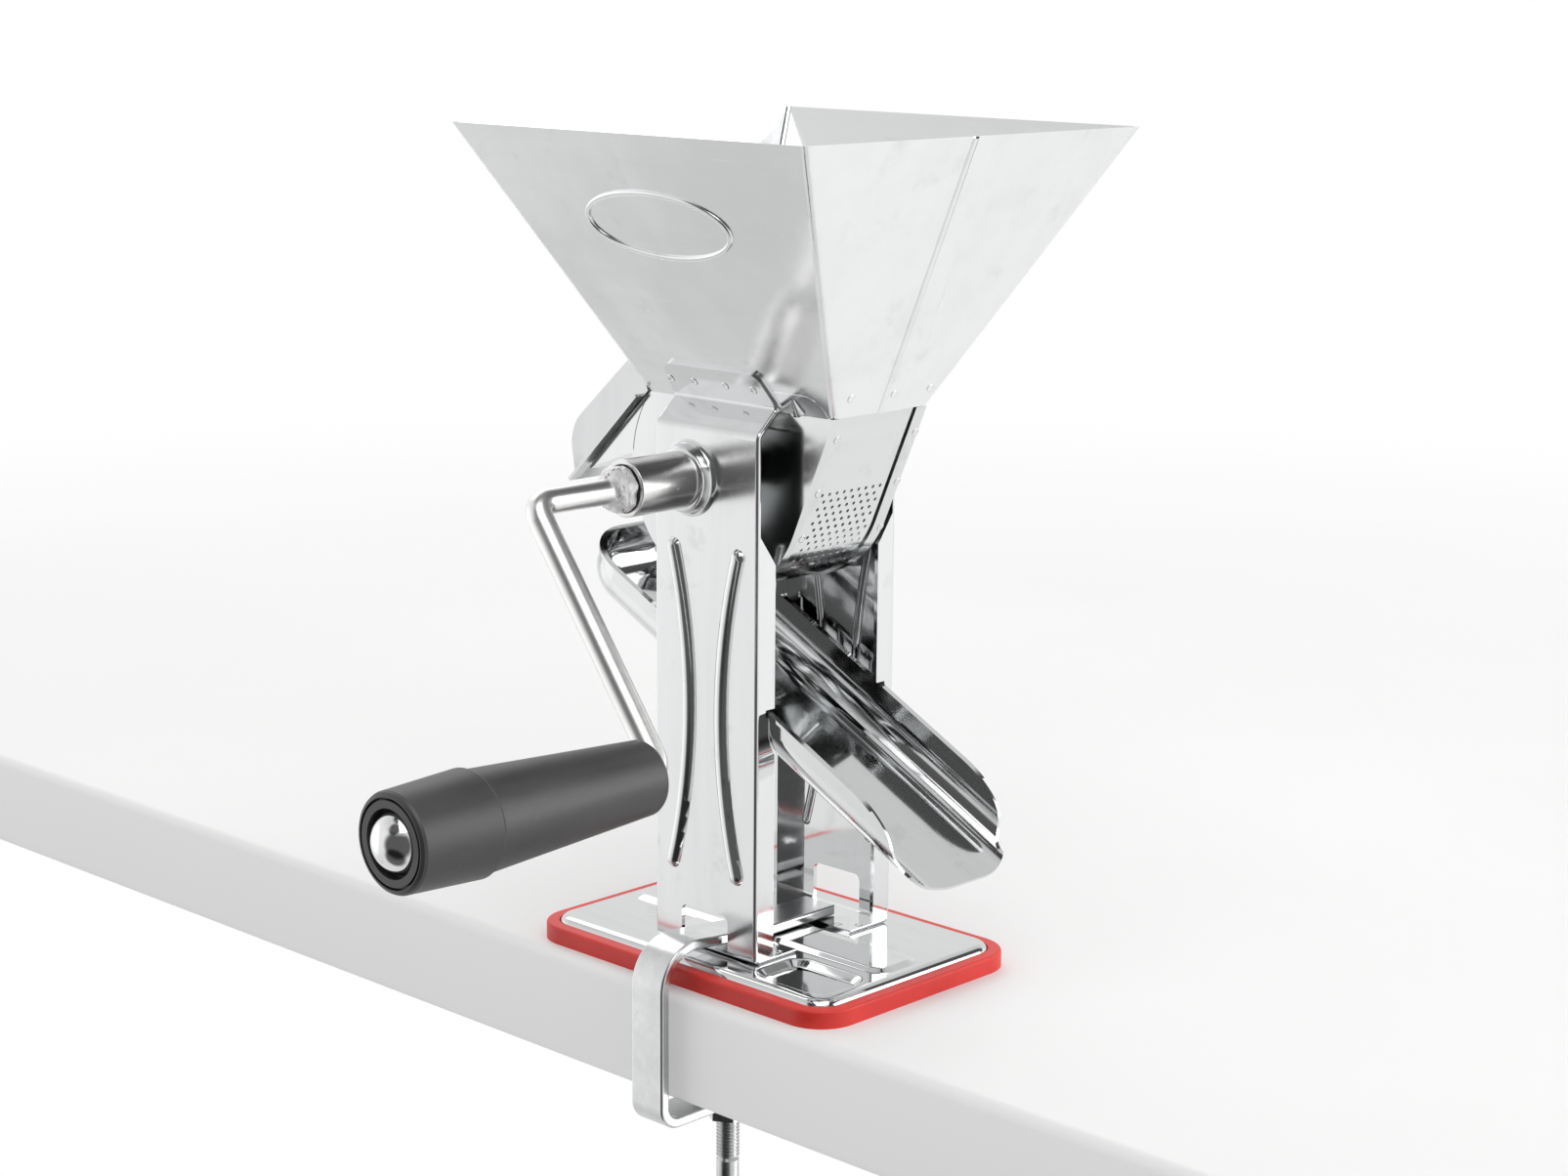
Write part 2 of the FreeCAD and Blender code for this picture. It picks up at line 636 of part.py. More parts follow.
def blank_oval():
    """The raised line of a bare oval pressed into the crank side."""
    ring = Part.Ellipse(V(0, 0, 0), OVAL_Y, OVAL_HIGH)
    inner = Part.Ellipse(V(0, 0, 0), OVAL_Y - OVAL_LINE, OVAL_HIGH - OVAL_LINE)
    outer_face = Part.Face(Part.Wire(ring.toShape()))
    inner_face = Part.Face(Part.Wire(inner.toShape()))
    depth = SHEET / 2 + OVAL_PROUD
    oval = outer_face.cut(inner_face).extrude(V(0, 0, depth))
    oval.translate(V(0, 0, -SHEET / 2))
    oval = round_edges(oval, OVAL_ROUND, flat_at(OVAL_PROUD))
    lean = math.degrees(math.atan(WALL_LEAN_X))
    oval.rotate(V(0, 0, 0), V(0, 0, 1), 90)
    oval.rotate(V(0, 0, 0), V(0, 1, 0), -90 - lean)
    wall_x = -THROAT_X - WALL_LEAN_X * (OVAL_MIDDLE_Z - HOPPER_FLOOR)
    oval.translate(V(wall_x, OVAL_MIDDLE_Y, OVAL_MIDDLE_Z))
    return oval


def hopper_crank_half():
    return hopper_shell().common(seam_side(-1)).fuse(blank_oval())


def hopper_far_half():
    return hopper_shell().common(seam_side(1)).fuse(lap_strips())


# Pressing drum


def screen_top():
    """Point, as Y and Z, where the screen's outer face meets the hopper's inner face."""
    return (THROAT_FRONT + SHEET * math.hypot(1, WALL_LEAN_FRONT), HOPPER_FLOOR)


def tangent_angle():
    """Angle where the straight front of the drum runs into its round part."""
    top_y, top_z = screen_top()
    reach = math.hypot(top_y - AXIS_Y, top_z - AXIS_Z)
    bearing = math.degrees(math.atan2(top_z - AXIS_Z, top_y - AXIS_Y))
    return bearing + math.degrees(math.acos(DRUM_R / reach))


def arc_corner(radius, start, end):
    """Corner of the two tangents to an arc round the shaft's axis."""
    half = math.radians(end - start) / 2
    return polar(radius / math.cos(half), (start + end) / 2)


def front_line(radius):
    """Upper end of the drum's straight front, at a radius."""
    angle = tangent_angle()
    foot = polar(radius, angle)
    slope = math.radians(angle)
    up = (math.sin(slope), -math.cos(slope))
    run = (HOPPER_FLOOR - foot[1]) / up[1]
    return (foot[0] + up[0] * run, HOPPER_FLOOR)


def side_outline(radius, top):
    """Side plate's outline: straight front, round bottom and rear, level top."""
    start = tangent_angle()
    foot = polar(radius, start)
    head = front_line(radius)
    lift = (top - HOPPER_FLOOR) / (HOPPER_FLOOR - foot[1])
    head = (head[0] + (head[0] - foot[0]) * lift, top)
    end = 360 + math.degrees(math.asin(min(0.99, (HOPPER_FLOOR - AXIS_Z) / radius)))
    rear = polar(radius, end)
    spots = [across_x(*p, 0) for p in (head, foot, polar(radius, (start + end) / 2), rear, (rear[0], top))]
    edges = [
        Part.LineSegment(spots[0], spots[1]).toShape(),
        Part.Arc(spots[1], spots[2], spots[3]).toShape(),
    ]
    if top > rear[1] + 1e-3:
        edges.append(Part.LineSegment(spots[3], spots[4]).toShape())
        edges.append(Part.LineSegment(spots[4], spots[0]).toShape())
    else:
        edges.append(Part.LineSegment(spots[3], spots[0]).toShape())
    return Part.Face(Part.Wire(edges))


def drum_band(inner, outer, low, high):
    """A band round the drum from the hopper's lower edge to the end of the screen."""
    middle = (inner + outer) / 2
    start = tangent_angle()
    end = 360 + SCREEN_END
    path = [front_line(middle), arc_corner(middle, start, end), polar(middle, end)]
    band = bent_sheet(path, [middle], outer - inner, across_x, low, high)
    over = box((low - OVER, -2 * DRUM_R, HOPPER_FLOOR - GAP), (high + OVER, 0, HOPPER_TOP))
    return band.cut(over)


def side_plate(strip):
    """The crank-side cheek of the drum: a flange carries the screen, and its edge is folded over it."""
    plate = side_outline(DRUM_IN, HOPPER_FLOOR).extrude(V(DRUM_FLANGE, 0, 0))
    hollow = side_outline(FLANGE_IN, HOPPER_FLOOR + OVER).extrude(V(DRUM_FLANGE, 0, 0))
    hollow.translate(V(SHEET, 0, 0))
    plate = plate.cut(hollow)
    plate.translate(V(-THROAT_X, 0, 0))
    outlet_y, outlet_z = polar(FLANGE_IN, OUTLET_LOW)
    outlet = box((-THROAT_X + SHEET, AXIS_Y, outlet_z), (0, outlet_y + DRUM_R, HOPPER_FLOOR + OVER))
    plate = plate.cut(outlet)
    outside = DRUM_R + STRIP_SHEET
    plate = plate.fuse(drum_band(FLANGE_IN, outside, -THROAT_X, -THROAT_X + SHEET))
    plate = plate.fuse(drum_band(DRUM_R, outside, -THROAT_X, -THROAT_X + strip))
    hole = rod(on_shaft(-THROAT_X - OVER), on_shaft(0), SHAFT_R + GAP)
    return plate.cut(hole)


def screen():
    """Bent screen sheet with its rows of holes."""
    middle = DRUM_R - SCREEN_SHEET / 2
    start = tangent_angle()
    end = 360 + SCREEN_END
    head = front_line(middle)
    lean = math.hypot(1, WALL_LEAN_FRONT)
    tab = (head[0] - WALL_LEAN_FRONT / lean * SCREEN_TAB, head[1] + SCREEN_TAB / lean)
    path = [tab, head, arc_corner(middle, start, end), polar(middle, end)]
    trim = SHEET * math.hypot(1, WALL_LEAN_X) + HOPPER_CORNER
    half = THROAT_X - SHEET - FIT
    sheet = bent_sheet(path, [1.5, middle], SCREEN_SHEET, across_x, -half, half)
    for edge in (-THROAT_X, THROAT_X - trim):
        sheet = sheet.cut(box((edge, THROAT_FRONT - 20, HOPPER_FLOOR), (edge + trim, 0, HOPPER_TOP)))
    return sheet.cut(Part.makeCompound(screen_holes(start)))


def screen_holes(start):
    """Cylinders for the staggered holes, along the straight front and round the bottom."""
    foot = polar(DRUM_R, start)
    slope = math.radians(start)
    straight = (HOLE_TOP - foot[1]) / -math.cos(slope)
    curved = math.radians(360 + SCREEN_END - start) * DRUM_R - 3 * HOLE_ROW
    rows = int((straight + curved) / HOLE_ROW)
    holes = []
    for row in range(rows):
        run = row * HOLE_ROW - straight
        degrees = start + math.degrees(max(run, 0) / DRUM_R)
        angle = math.radians(degrees)
        y, z = polar(DRUM_R + OVER, degrees)
        if run < 0:
            y -= math.sin(slope) * run
            z += math.cos(slope) * run
        inward = V(0, -math.cos(angle), -math.sin(angle))
        offset = HOLE_STEP / 2 if row % 2 else 0
        count = HOLES_ACROSS - row % 2
        for column in range(count):
            x = (column - (HOLES_ACROSS - 1) / 2) * HOLE_STEP + offset
            holes.append(Part.makeCylinder(HOLE_R, SCREEN_SHEET + 2 * OVER, V(x, y, z), inward))
    return holes


def rear_apron():
    """Plain rear wall of the drum, turned out into the tongue that skins slide over."""
    middle = DRUM_R - SCREEN_SHEET / 2
    start = SCREEN_END + 0.3
    leave = polar(middle, OUTLET_LOW)
    up = math.radians(OUTLET_LOW)
    crest = (leave[0] - math.sin(up) * 2 * TONGUE_BEND, leave[1] + math.cos(up) * 2 * TONGUE_BEND)
    path = [polar(middle, start), arc_corner(middle, start, OUTLET_LOW), crest, (TONGUE_Y, TONGUE_Z)]
    apron = bent_sheet(path, [middle, TONGUE_BEND], SCREEN_SHEET, across_x, -THROAT_X, THROAT_X)
    top, chord = hood_edge()
    normal = V(-chord.y, chord.x, 0)
    long = (TONGUE_Y - top.x) / chord.x
    rim = [top - normal * HOOD_SLIT + chord * s for s in (0, long)]
    outline = [(rim[0].x, rim[0].y), (rim[1].x, rim[1].y), (TONGUE_Y, TONGUE_Z), leave]
    drum = rod(on_shaft(-2 * THROAT_X), on_shaft(2 * THROAT_X), DRUM_IN + GAP)
    for x in (-THROAT_X, THROAT_X - SCREEN_SHEET):
        apron = apron.fuse(prism(outline, across_x, x, x + SCREEN_SHEET).cut(drum))
    return apron


def hood_edge():
    """Upper end and direction, in Y and Z, of the lower edge of the hood's cheeks."""
    top = V(THROAT_REAR + 0.2, HOPPER_FLOOR, 0)
    chord = V(HOOD_TIP_Y, HOOD_TIP_Z, 0) - top
    chord.normalize()
    return top, chord


def hood_corners(inset):
    """Hood profile, as Y and Z: on the hopper wall, the leaving point, the knee and the tip."""
    def wall(z):
        return THROAT_REAR + WALL_LEAN_REAR * (z - HOPPER_FLOOR) + inset * math.hypot(1, WALL_LEAN_REAR)
    top = HOOD_Z + HOOD_FLANGE
    return [(wall(top), top), (wall(HOOD_Z), HOOD_Z), (HOOD_KNEE_Y, HOOD_KNEE_Z), (HOOD_TIP_Y, HOOD_TIP_Z)]


def waste_hood():
    """Hood over the skin outlet: curved top, two cheeks and their turned-out lips."""
    half = SHEET / 2
    hood = bent_sheet(hood_corners(half), [2.0, HOOD_KNEE_R], SHEET, across_x, -THROAT_X, THROAT_X)
    top, chord = hood_edge()
    wall_low = (top.x, top.y)
    marks = bent_path(hood_corners(half)[1:], [HOOD_KNEE_R], 0)
    for x in (-THROAT_X, THROAT_X - SHEET):
        edges, first, last = draw(marks, across_x, x)
        start = across_x(*wall_low, x)
        edges.append(Part.LineSegment(last, start).toShape())
        edges.append(Part.LineSegment(start, first).toShape())
        cheek = Part.Face(Part.Wire(Part.__sortEdges__(edges))).extrude(V(SHEET, 0, 0))
        hood = hood.fuse(cheek)
    long = math.hypot(HOOD_TIP_Y - wall_low[0], HOOD_TIP_Z - wall_low[1])
    for side in (-1, 1):
        normal = (-chord.y, chord.x)
        low = [(wall_low[0] + chord.x * s, wall_low[1] + chord.y * s) for s in (3.0, long)]
        high = [(y + normal[0] * SHEET, z + normal[1] * SHEET) for y, z in low]
        outline = [low[0], low[1], high[1], high[0]]
        near, far = sorted((side * (THROAT_X - SHEET), side * (THROAT_X + HOOD_LIP)))
        hood = hood.fuse(prism(outline, across_x, near, far))
    return hood.removeSplitter()


# Bearings, shaft and roller


def crank_bearing_tube():
    shape = tube(on_shaft(-TUBE_END), on_shaft(-TUBE_IN), TUBE_R, TUBE_BORE)
    return round_edges(shape, 0.5, lambda e: abs(e.Vertexes[0].Point.x + TUBE_END) < 1e-3)


def crank_bush():
    return tube(on_shaft(-TUBE_END + 0.5), on_shaft(-LEG_OUT), TUBE_BORE, SHAFT_R + FIT)


def far_bush():
    inner = tube(on_shaft(LEG_OUT - 2 * LEG_SHEET), on_shaft(FAR_COLLAR_END), TUBE_R, SHAFT_R + FIT)
    rim = tube(on_shaft(FAR_COLLAR_END), on_shaft(FAR_COLLAR_END + FAR_FLANGE), FAR_FLANGE_R, SHAFT_R + FIT)
    return inner.fuse(rim)


def roller_shaft():
    end = FAR_CLIP_X + CLIP + SHAFT_TAIL
    shaft = rod(on_shaft(-SHAFT_END), on_shaft(end), SHAFT_R)
    shaft = round_edges(shaft, 0.8, lambda e: abs(e.Vertexes[0].Point.x - end) < 1e-3)
    groove = tube(
        on_shaft(FAR_CLIP_X - FIT), on_shaft(FAR_CLIP_X + CLIP + FIT),
        SHAFT_R + OVER, SHAFT_R - CLIP_GROOVE)
    pin = rod((0, AXIS_Y, AXIS_Z - 2 * SHAFT_R), (0, AXIS_Y, AXIS_Z + 2 * SHAFT_R), PIN_R)
    return shaft.cut(groove).cut(pin)


def far_washer():
    return tube(on_shaft(FAR_WASHER_X), on_shaft(FAR_WASHER_X + WASHER), WASHER_R, SHAFT_R)


def shaft_clip():
    """Spring clip in the shaft's groove, open on one side."""
    inner = SHAFT_R - CLIP_GROOVE
    ring = tube(on_shaft(FAR_CLIP_X), on_shaft(FAR_CLIP_X + CLIP), CLIP_R, inner)
    mouth = 0.85 * inner
    slot = box((0, AXIS_Y - mouth, AXIS_Z - 2 * CLIP_R), (FAR_CLIP_X + 2 * CLIP, AXIS_Y + mouth, AXIS_Z))
    return ring.cut(slot)


def turned(shape, degrees):
    """Turn a piece round the shaft's axis."""
    shape = shape.copy()
    shape.rotate(V(*on_shaft(0)), V(1, 0, 0), degrees)
    return shape


def vane_angle(index):
    return 360 / VANES * (index + 0.5)


def roller_half():
    """Half width of the roller between the drum's side plates."""
    return THROAT_X - SHEET - ROLLER_SIDE_GAP


def roller_body():
    half = roller_half()
    body = tube(on_shaft(-half), on_shaft(half), ROLLER_R, SHAFT_R)
    body = round_edges(body, 1.0, lambda e: e.Length > 2 * math.pi * (ROLLER_R - 0.5))
    slot = box(
        (-half - OVER, AXIS_Y - SLOT_WIDE / 2, AXIS_Z + SLOT_FLOOR),
        (half + OVER, AXIS_Y + SLOT_WIDE / 2, AXIS_Z + ROLLER_R + OVER))
    for index in range(VANES):
        body = body.cut(turned(slot, vane_angle(index)))
    pin = rod((0, AXIS_Y, AXIS_Z - ROLLER_R - OVER), (0, AXIS_Y, AXIS_Z + ROLLER_R + OVER), PIN_R)
    return body.cut(pin)


def roller_pin():
    reach = ROLLER_R - 1.0
    return rod((0, AXIS_Y, AXIS_Z - reach), (0, AXIS_Y, AXIS_Z + reach), PIN_R)


def vane():
    """One sliding blade, standing straight up out of the roller."""
    wide = roller_half() - ROLLER_SIDE_GAP
    narrow = THROAT_X - DRUM_FLANGE - ROLLER_SIDE_GAP
    low = AXIS_Z + VANE_ROOT
    shoulder = AXIS_Z + VANE_SHOULDER
    tip = AXIS_Z + VANE_TIP
    outline = [(-wide, low), (wide, low), (wide, shoulder), (narrow, shoulder),
               (narrow, tip), (-narrow, tip), (-narrow, shoulder), (-wide, shoulder)]
    blade = prism(outline, across_y, AXIS_Y - VANE_THICK / 2, AXIS_Y + VANE_THICK / 2)
    return round_edges(
        blade, VANE_THICK * 0.3,
        lambda e: flat_at(tip)(e) and abs(e.tangentAt(e.FirstParameter).x) > 0.9)


def vane_spring():
    """Bowed leaf spring under one blade, at the bottom of its slot."""
    half = SPRING_LONG / 2
    low = AXIS_Z + SLOT_FLOOR + SPRING_SHEET / 2 + FIT
    high = AXIS_Z + VANE_ROOT - SPRING_SHEET / 2 - FIT
    peak = 1.6 * (high - low)
    bow = (peak - (high - low)) / (math.hypot(peak, half) / half - 1)
    path = [(-half, low), (0, low + peak), (half, low)]
    width = SLOT_WIDE - 2 * GAP
    return bent_sheet(path, [bow], SPRING_SHEET, across_y, AXIS_Y - width / 2, AXIS_Y + width / 2)


# Crank


def arm_direction():
    tilt = math.radians(ARM_TILT)
    return V(0, -math.sin(tilt), -math.cos(tilt))


def spindle(x):
    """A point of the grip's axis."""
    end = V(*on_shaft(-x)) + arm_direction() * ARM_LONG
    return (end.x, end.y, end.z)


def crank_rod():
    """One round bar bent twice: along the shaft, down the arm and out through the grip."""
    tilt = math.radians(ARM_TILT)

    def place(u, v, w):
        return V(u, AXIS_Y + v * math.sin(tilt), AXIS_Z + v * math.cos(tilt))
    end_x = -GRIP_X - GRIP_LONG + 2.0
    path = [(-SHAFT_END, 0), (-ARM_X, 0), (-ARM_X, -ARM_LONG), (end_x, -ARM_LONG)]
    edges, start, _ = draw(bent_path(path, [ROD_BEND, ROD_BEND], 0), place, 0)
    section = Part.Wire(Part.makeCircle(ROD_R, start, V(1, 0, 0)))
    return Part.Wire(edges).makePipeShell([section], True, True)


def revolved(profile, centre):
    """Turn a profile of X and radius about a line along X."""
    corners = [V(x, centre[1] + r, centre[2]) for x, r in profile]
    face = Part.Face(Part.makePolygon(corners + corners[:1]))
    return face.revolve(V(0, centre[1], centre[2]), V(1, 0, 0), 360)


def crank_weld():
    """Bead of weld that joins the bar to the end of the shaft."""
    tail = WELD_X + WELD_LONG
    profile = [
        (-WELD_X, SHAFT_R), (-WELD_X, WELD_R - 0.8), (-WELD_X - 0.8, WELD_R),
        (-WELD_X - 0.55 * WELD_LONG, WELD_R), (-WELD_X - 0.85 * WELD_LONG, 0.8 * WELD_R),
        (-tail, ROD_R + 0.4), (-tail, ROD_R), (-SHAFT_END, ROD_R), (-SHAFT_END, SHAFT_R),
    ]
    return revolved(profile, on_shaft(0))


def grip():
    """Turned plastic handle, thicker at its outer end, with a recess for the cap."""
    inner = -GRIP_X
    outer = -GRIP_X - GRIP_LONG
    step = outer + GRIP_HEAD
    bore = ROD_R + FIT
    recess = outer + GRIP_RECESS
    profile = [
        (inner, bore), (inner, GRIP_INNER_R - GRIP_ROUND),
        (inner - 0.4 * GRIP_ROUND, GRIP_INNER_R - 0.3 * GRIP_ROUND),
        (inner - GRIP_ROUND, GRIP_INNER_R), (step + 0.8, GRIP_WAIST_R), (step, GRIP_STEP_R - 0.3),
        (step - 0.6, GRIP_STEP_R), (outer + GRIP_ROUND, GRIP_END_R),
        (outer + 0.4 * GRIP_ROUND, GRIP_END_R - 0.3 * GRIP_ROUND), (outer, GRIP_END_R - GRIP_ROUND),
        (outer, GRIP_GROOVE_R + GRIP_GROOVE), (outer + 2 * GRIP_GROOVE, GRIP_GROOVE_R + GRIP_GROOVE),
        (outer + 2 * GRIP_GROOVE, GRIP_GROOVE_R), (outer, GRIP_GROOVE_R),
        (outer, GRIP_RECESS_R), (recess, GRIP_RECESS_R), (recess, bore),
    ]
    return revolved(profile, spindle(0))


def grip_cap():
    """Domed push-on cap that keeps the grip on its spindle."""
    floor = -GRIP_X - GRIP_LONG + GRIP_RECESS - GAP
    ball_r = (CAP_R * CAP_R + CAP_TALL * CAP_TALL) / (2 * CAP_TALL)
    _, y, z = spindle(0)
    ball = Part.makeSphere(ball_r, V(floor - CAP_TALL + ball_r, y, z))
    slab = rod((floor - CAP_TALL - OVER, y, z), (floor, y, z), CAP_R + OVER)
    end_x = -GRIP_X - GRIP_LONG + 2.0
    return ball.common(slab).cut(rod((end_x, y, z), (floor + OVER, y, z), ROD_R))


# Juice chute


def chute_block(inset, rear, low, high):
    """Level plan of the chute: rounded at the rear, square past the mouth."""
    half = CHUTE_HALF - inset
    corner = CHUTE_REAR_ROUND - inset
    block = box((-half, -CHUTE_MOUTH - OVER, low), (half, rear - inset, high))
    uprights = [
        e for e in block.Edges
        if abs(e.tangentAt(e.FirstParameter).z) > 0.9 and e.Vertexes[0].Point.y > 0]
    return block.makeFillet(corner, uprights)


def juice_chute():
    """Open trough with a rounded rear end, a turned-out rim and a scooped mouth."""
    outside = chute_block(0, CHUTE_REAR, -CHUTE_DEEP, 0)
    outside = outside.makeFillet(CHUTE_FLOOR_ROUND, floor_edges(outside, -CHUTE_DEEP))
    floor = -CHUTE_DEEP + CHUTE_SHEET
    inside = chute_block(CHUTE_SHEET, CHUTE_REAR, floor, OVER)
    inside = inside.makeFillet(CHUTE_FLOOR_ROUND - CHUTE_SHEET, floor_edges(inside, floor))
    inside = inside.fuse(inside.translated(V(0, -10, 0)))
    trough = outside.cut(inside)
    rim = chute_block(-CHUTE_LIP, CHUTE_REAR, -CHUTE_SHEET, 0)
    rim = rim.cut(chute_block(CHUTE_SHEET / 2, CHUTE_REAR, -CHUTE_SHEET - OVER, OVER))
    mouth = -CHUTE_MOUTH - 2 * OVER
    rim = rim.cut(box((-CHUTE_HALF, mouth, -CHUTE_DEEP), (CHUTE_HALF - CHUTE_SHEET, 0, OVER)))
    trough = trough.fuse(rim)
    trough = trough.cut(mouth_cut())
    return on_slope(trough.removeSplitter())


def floor_edges(block, level):
    """Edges round the floor of a chute block, but not the one at its open mouth."""
    mouth = -CHUTE_MOUTH - OVER
    level_edges = [e for e in block.Edges if flat_at(level)(e)]
    return [e for e in level_edges if any(v.Point.y > mouth + 1 for v in e.Vertexes)]


def mouth_cut():
    """What the scooped mouth takes away: the wall ends in side view, the floor's corners in plan."""
    reach = CHUTE_HALF + CHUTE_LIP + OVER
    long = CHUTE_MOUTH + 2 * OVER
    keep_plan = box((-reach, -CHUTE_MOUTH, -CHUTE_DEEP - OVER), (reach, 0, 2 * OVER))
    front_corners = [
        e for e in keep_plan.Edges
        if abs(e.tangentAt(e.FirstParameter).z) > 0.9 and e.Vertexes[0].Point.y < -OVER]
    keep_plan = keep_plan.makeFillet(CHUTE_MOUTH_ROUND, front_corners)
    whole = box((-reach, -long, -CHUTE_DEEP - OVER), (reach, -OVER, 2 * OVER))
    low = -CHUTE_DEEP + 2 * CHUTE_SHEET
    falling = [(0, 0), (0.4, 0.12), (0.68, 0.46), (0.82, 0.86), (1, 1)]
    marks = [across_x(-CHUTE_WALL_END - a * CHUTE_FALL, b * low, -reach) for a, b in falling]
    curve = Part.BSplineCurve()
    curve.interpolate(marks)
    around = ((-long, low), (-long, 2 * OVER), (-CHUTE_WALL_END, 2 * OVER))
    corners = [marks[-1]] + [across_x(u, v, -reach) for u, v in around] + [marks[0]]
    edges = [curve.toShape()] + [Part.LineSegment(*ends).toShape() for ends in zip(corners, corners[1:])]
    scoop = Part.Face(Part.Wire(edges)).extrude(V(2 * reach, 0, 0))
    return whole.cut(keep_plan).fuse(scoop)


# Table clamp


def clamp_strap():
    """Flat bar bent round the table edge, with the hole for its screw."""
    middle_z = STRAP_LOW_Z + STRAP_THICK / 2
    climb = math.tan(math.radians(STRAP_RISE)) * (STRAP_KINK_X - STRAP_BACK_X)
    path = [
        (STRAP_TAIL_X, middle_z),
        (STRAP_KINK_X, middle_z),
        (STRAP_BACK_X, middle_z + climb),
        (STRAP_BACK_X, STRAP_UNDER_Z),
        (STRAP_TOE_X, STRAP_UNDER_Z),
    ]
    bends = [STRAP_KINK_BEND, STRAP_TOP_BEND, STRAP_LOW_BEND]
    bar = bent_sheet(path, bends, STRAP_THICK, across_y, STRAP_FRONT, STRAP_FRONT + STRAP_WIDE)
    toe = [e for e in bar.Edges if abs(e.tangentAt(e.FirstParameter).z) > 0.9 and on_toe(e)]
    bar = bar.makeFillet(STRAP_WIDE * 0.3, toe)
    bar = round_edges(bar, STRAP_EDGE, lambda e: abs(e.tangentAt(e.FirstParameter).y) < 0.1 and not on_toe(e))
    under = screw_point(STRAP_UNDER_Z - STRAP_THICK)
    above = screw_point(STRAP_UNDER_Z + STRAP_THICK)
    return bar.cut(rod(under, above, SCREW_R + FIT))


def on_toe(edge):
    return abs(edge.Vertexes[0].Point.x - STRAP_TOE_X) < 1e-3


def screw_point(z):
    return (SCREW_X, STRAP_MIDDLE_Y, z)


def clamp_nut():
    """Hexagon nut welded under the strap."""
    top = STRAP_UNDER_Z - STRAP_THICK / 2
    corner = NUT_FLATS / 2 / math.cos(math.pi / 6)
    points = []
    for i in range(6):
        angle = math.pi / 3 * i
        out = V(corner * math.cos(angle), corner * math.sin(angle), -NUT_TALL)
        points.append(V(*screw_point(top)) + out)
    nut = Part.Face(Part.makePolygon(points + points[:1])).extrude(V(0, 0, NUT_TALL))
    return nut.cut(rod(screw_point(top - 2 * NUT_TALL), screw_point(top + OVER), SCREW_R + FIT))


def clamp_screw():
    """Screw with its tip, thread ridges, plain shank and cross-drilled boss."""
    top = PAD_LOW - GAP
    tip = PAD_LOW + PAD_SOCKET - GAP
    end = top - SCREW_LONG
    crest = SCREW_R - FIT
    profile = [(0, tip), (SCREW_TIP_R, tip), (SCREW_TIP_R, top)]
    turns = int(THREAD_LONG / SCREW_PITCH)
    root = SCREW_R - THREAD_DEEP
    for i in range(turns):
        z = top - SCREW_PITCH * i
        profile += [(root, z), (SCREW_R, z - 0.35 * SCREW_PITCH), (SCREW_R, z - 0.6 * SCREW_PITCH)]
    low = top - SCREW_PITCH * turns
    profile += [(root, low), (crest, low - 1.0), (crest, end + BOSS_TALL + 2.0), (BOSS_R, end + BOSS_TALL)]
    profile += [(BOSS_R, end + 1.5), (BOSS_R - 1.5, end), (0, end)]
    corners = [V(SCREW_X + r, STRAP_MIDDLE_Y, z) for r, z in profile]
    face = Part.Face(Part.makePolygon(corners + corners[:1]))
    screw = face.revolve(V(SCREW_X, STRAP_MIDDLE_Y, 0), V(0, 0, 1), 360)
    x, y, z = bar_middle()
    return screw.cut(rod((x, y - BAR_LONG, z), (x, y + BAR_LONG, z), BAR_R))


def bar_middle():
    return screw_point(PAD_LOW - GAP - SCREW_LONG + BOSS_TALL / 2)


def tommy_bar():
    """Cross bar with rounded knobs, driven through the boss."""
    x, y, z = bar_middle()
    bar = rod((x, y - BAR_LONG / 2, z), (x, y + BAR_LONG / 2, z), BAR_R)
    for side in (-1, 1):
        bar = bar.fuse(Part.makeSphere(BAR_KNOB_R, V(x, y + side * BAR_LONG / 2, z)))
    return bar


def clamp_pad():
    """Round swivel pad on the screw's tip, which bears on the underside of the table."""
    pad = rod(screw_point(PAD_LOW), screw_point(PAD_LOW + PAD_TALL), PAD_R)
    pad = round_edges(pad, 1.0, flat_at(PAD_LOW))
    return pad.cut(rod(screw_point(PAD_LOW - OVER), screw_point(PAD_LOW + PAD_SOCKET), SCREW_TIP_R + FIT))


def pieces():
    """Every piece under the name of its node."""
    crank_leg = leg()
    made = {
        "base_plate": base_plate(),
        "base_gasket": base_gasket(),
        "crank_side_leg": crank_leg,
        "far_leg": mirrored(crank_leg),
        "hopper_crank_half": hopper_crank_half(),
        "hopper_far_half": hopper_far_half(),
        "crank_side_cheek": side_plate(STRIP_NEAR),
        "far_cheek": mirrored(side_plate(STRIP_FAR)),
        "screen": screen(),
        "rear_apron": rear_apron(),
        "waste_hood": waste_hood(),
        "crank_bearing_tube": crank_bearing_tube(),
        "crank_bush": crank_bush(),
        "far_bush": far_bush(),
        "roller_shaft": roller_shaft(),
        "roller_body": roller_body(),
        "roller_pin": roller_pin(),
        "far_washer": far_washer(),
        "shaft_clip": shaft_clip(),
        "crank_rod": crank_rod(),
        "crank_weld": crank_weld(),
        "grip": grip(),
        "grip_cap": grip_cap(),
        "juice_chute": juice_chute(),
        "clamp_strap": clamp_strap(),
        "clamp_nut": clamp_nut(),
        "clamp_screw": clamp_screw(),
        "clamp_pad": clamp_pad(),
        "tommy_bar": tommy_bar(),
    }
    for index in range(VANES):
        made[f"vane_{index + 1}"] = turned(vane(), vane_angle(index))
        made[f"vane_spring_{index + 1}"] = turned(vane_spring(), vane_angle(index))
    return made


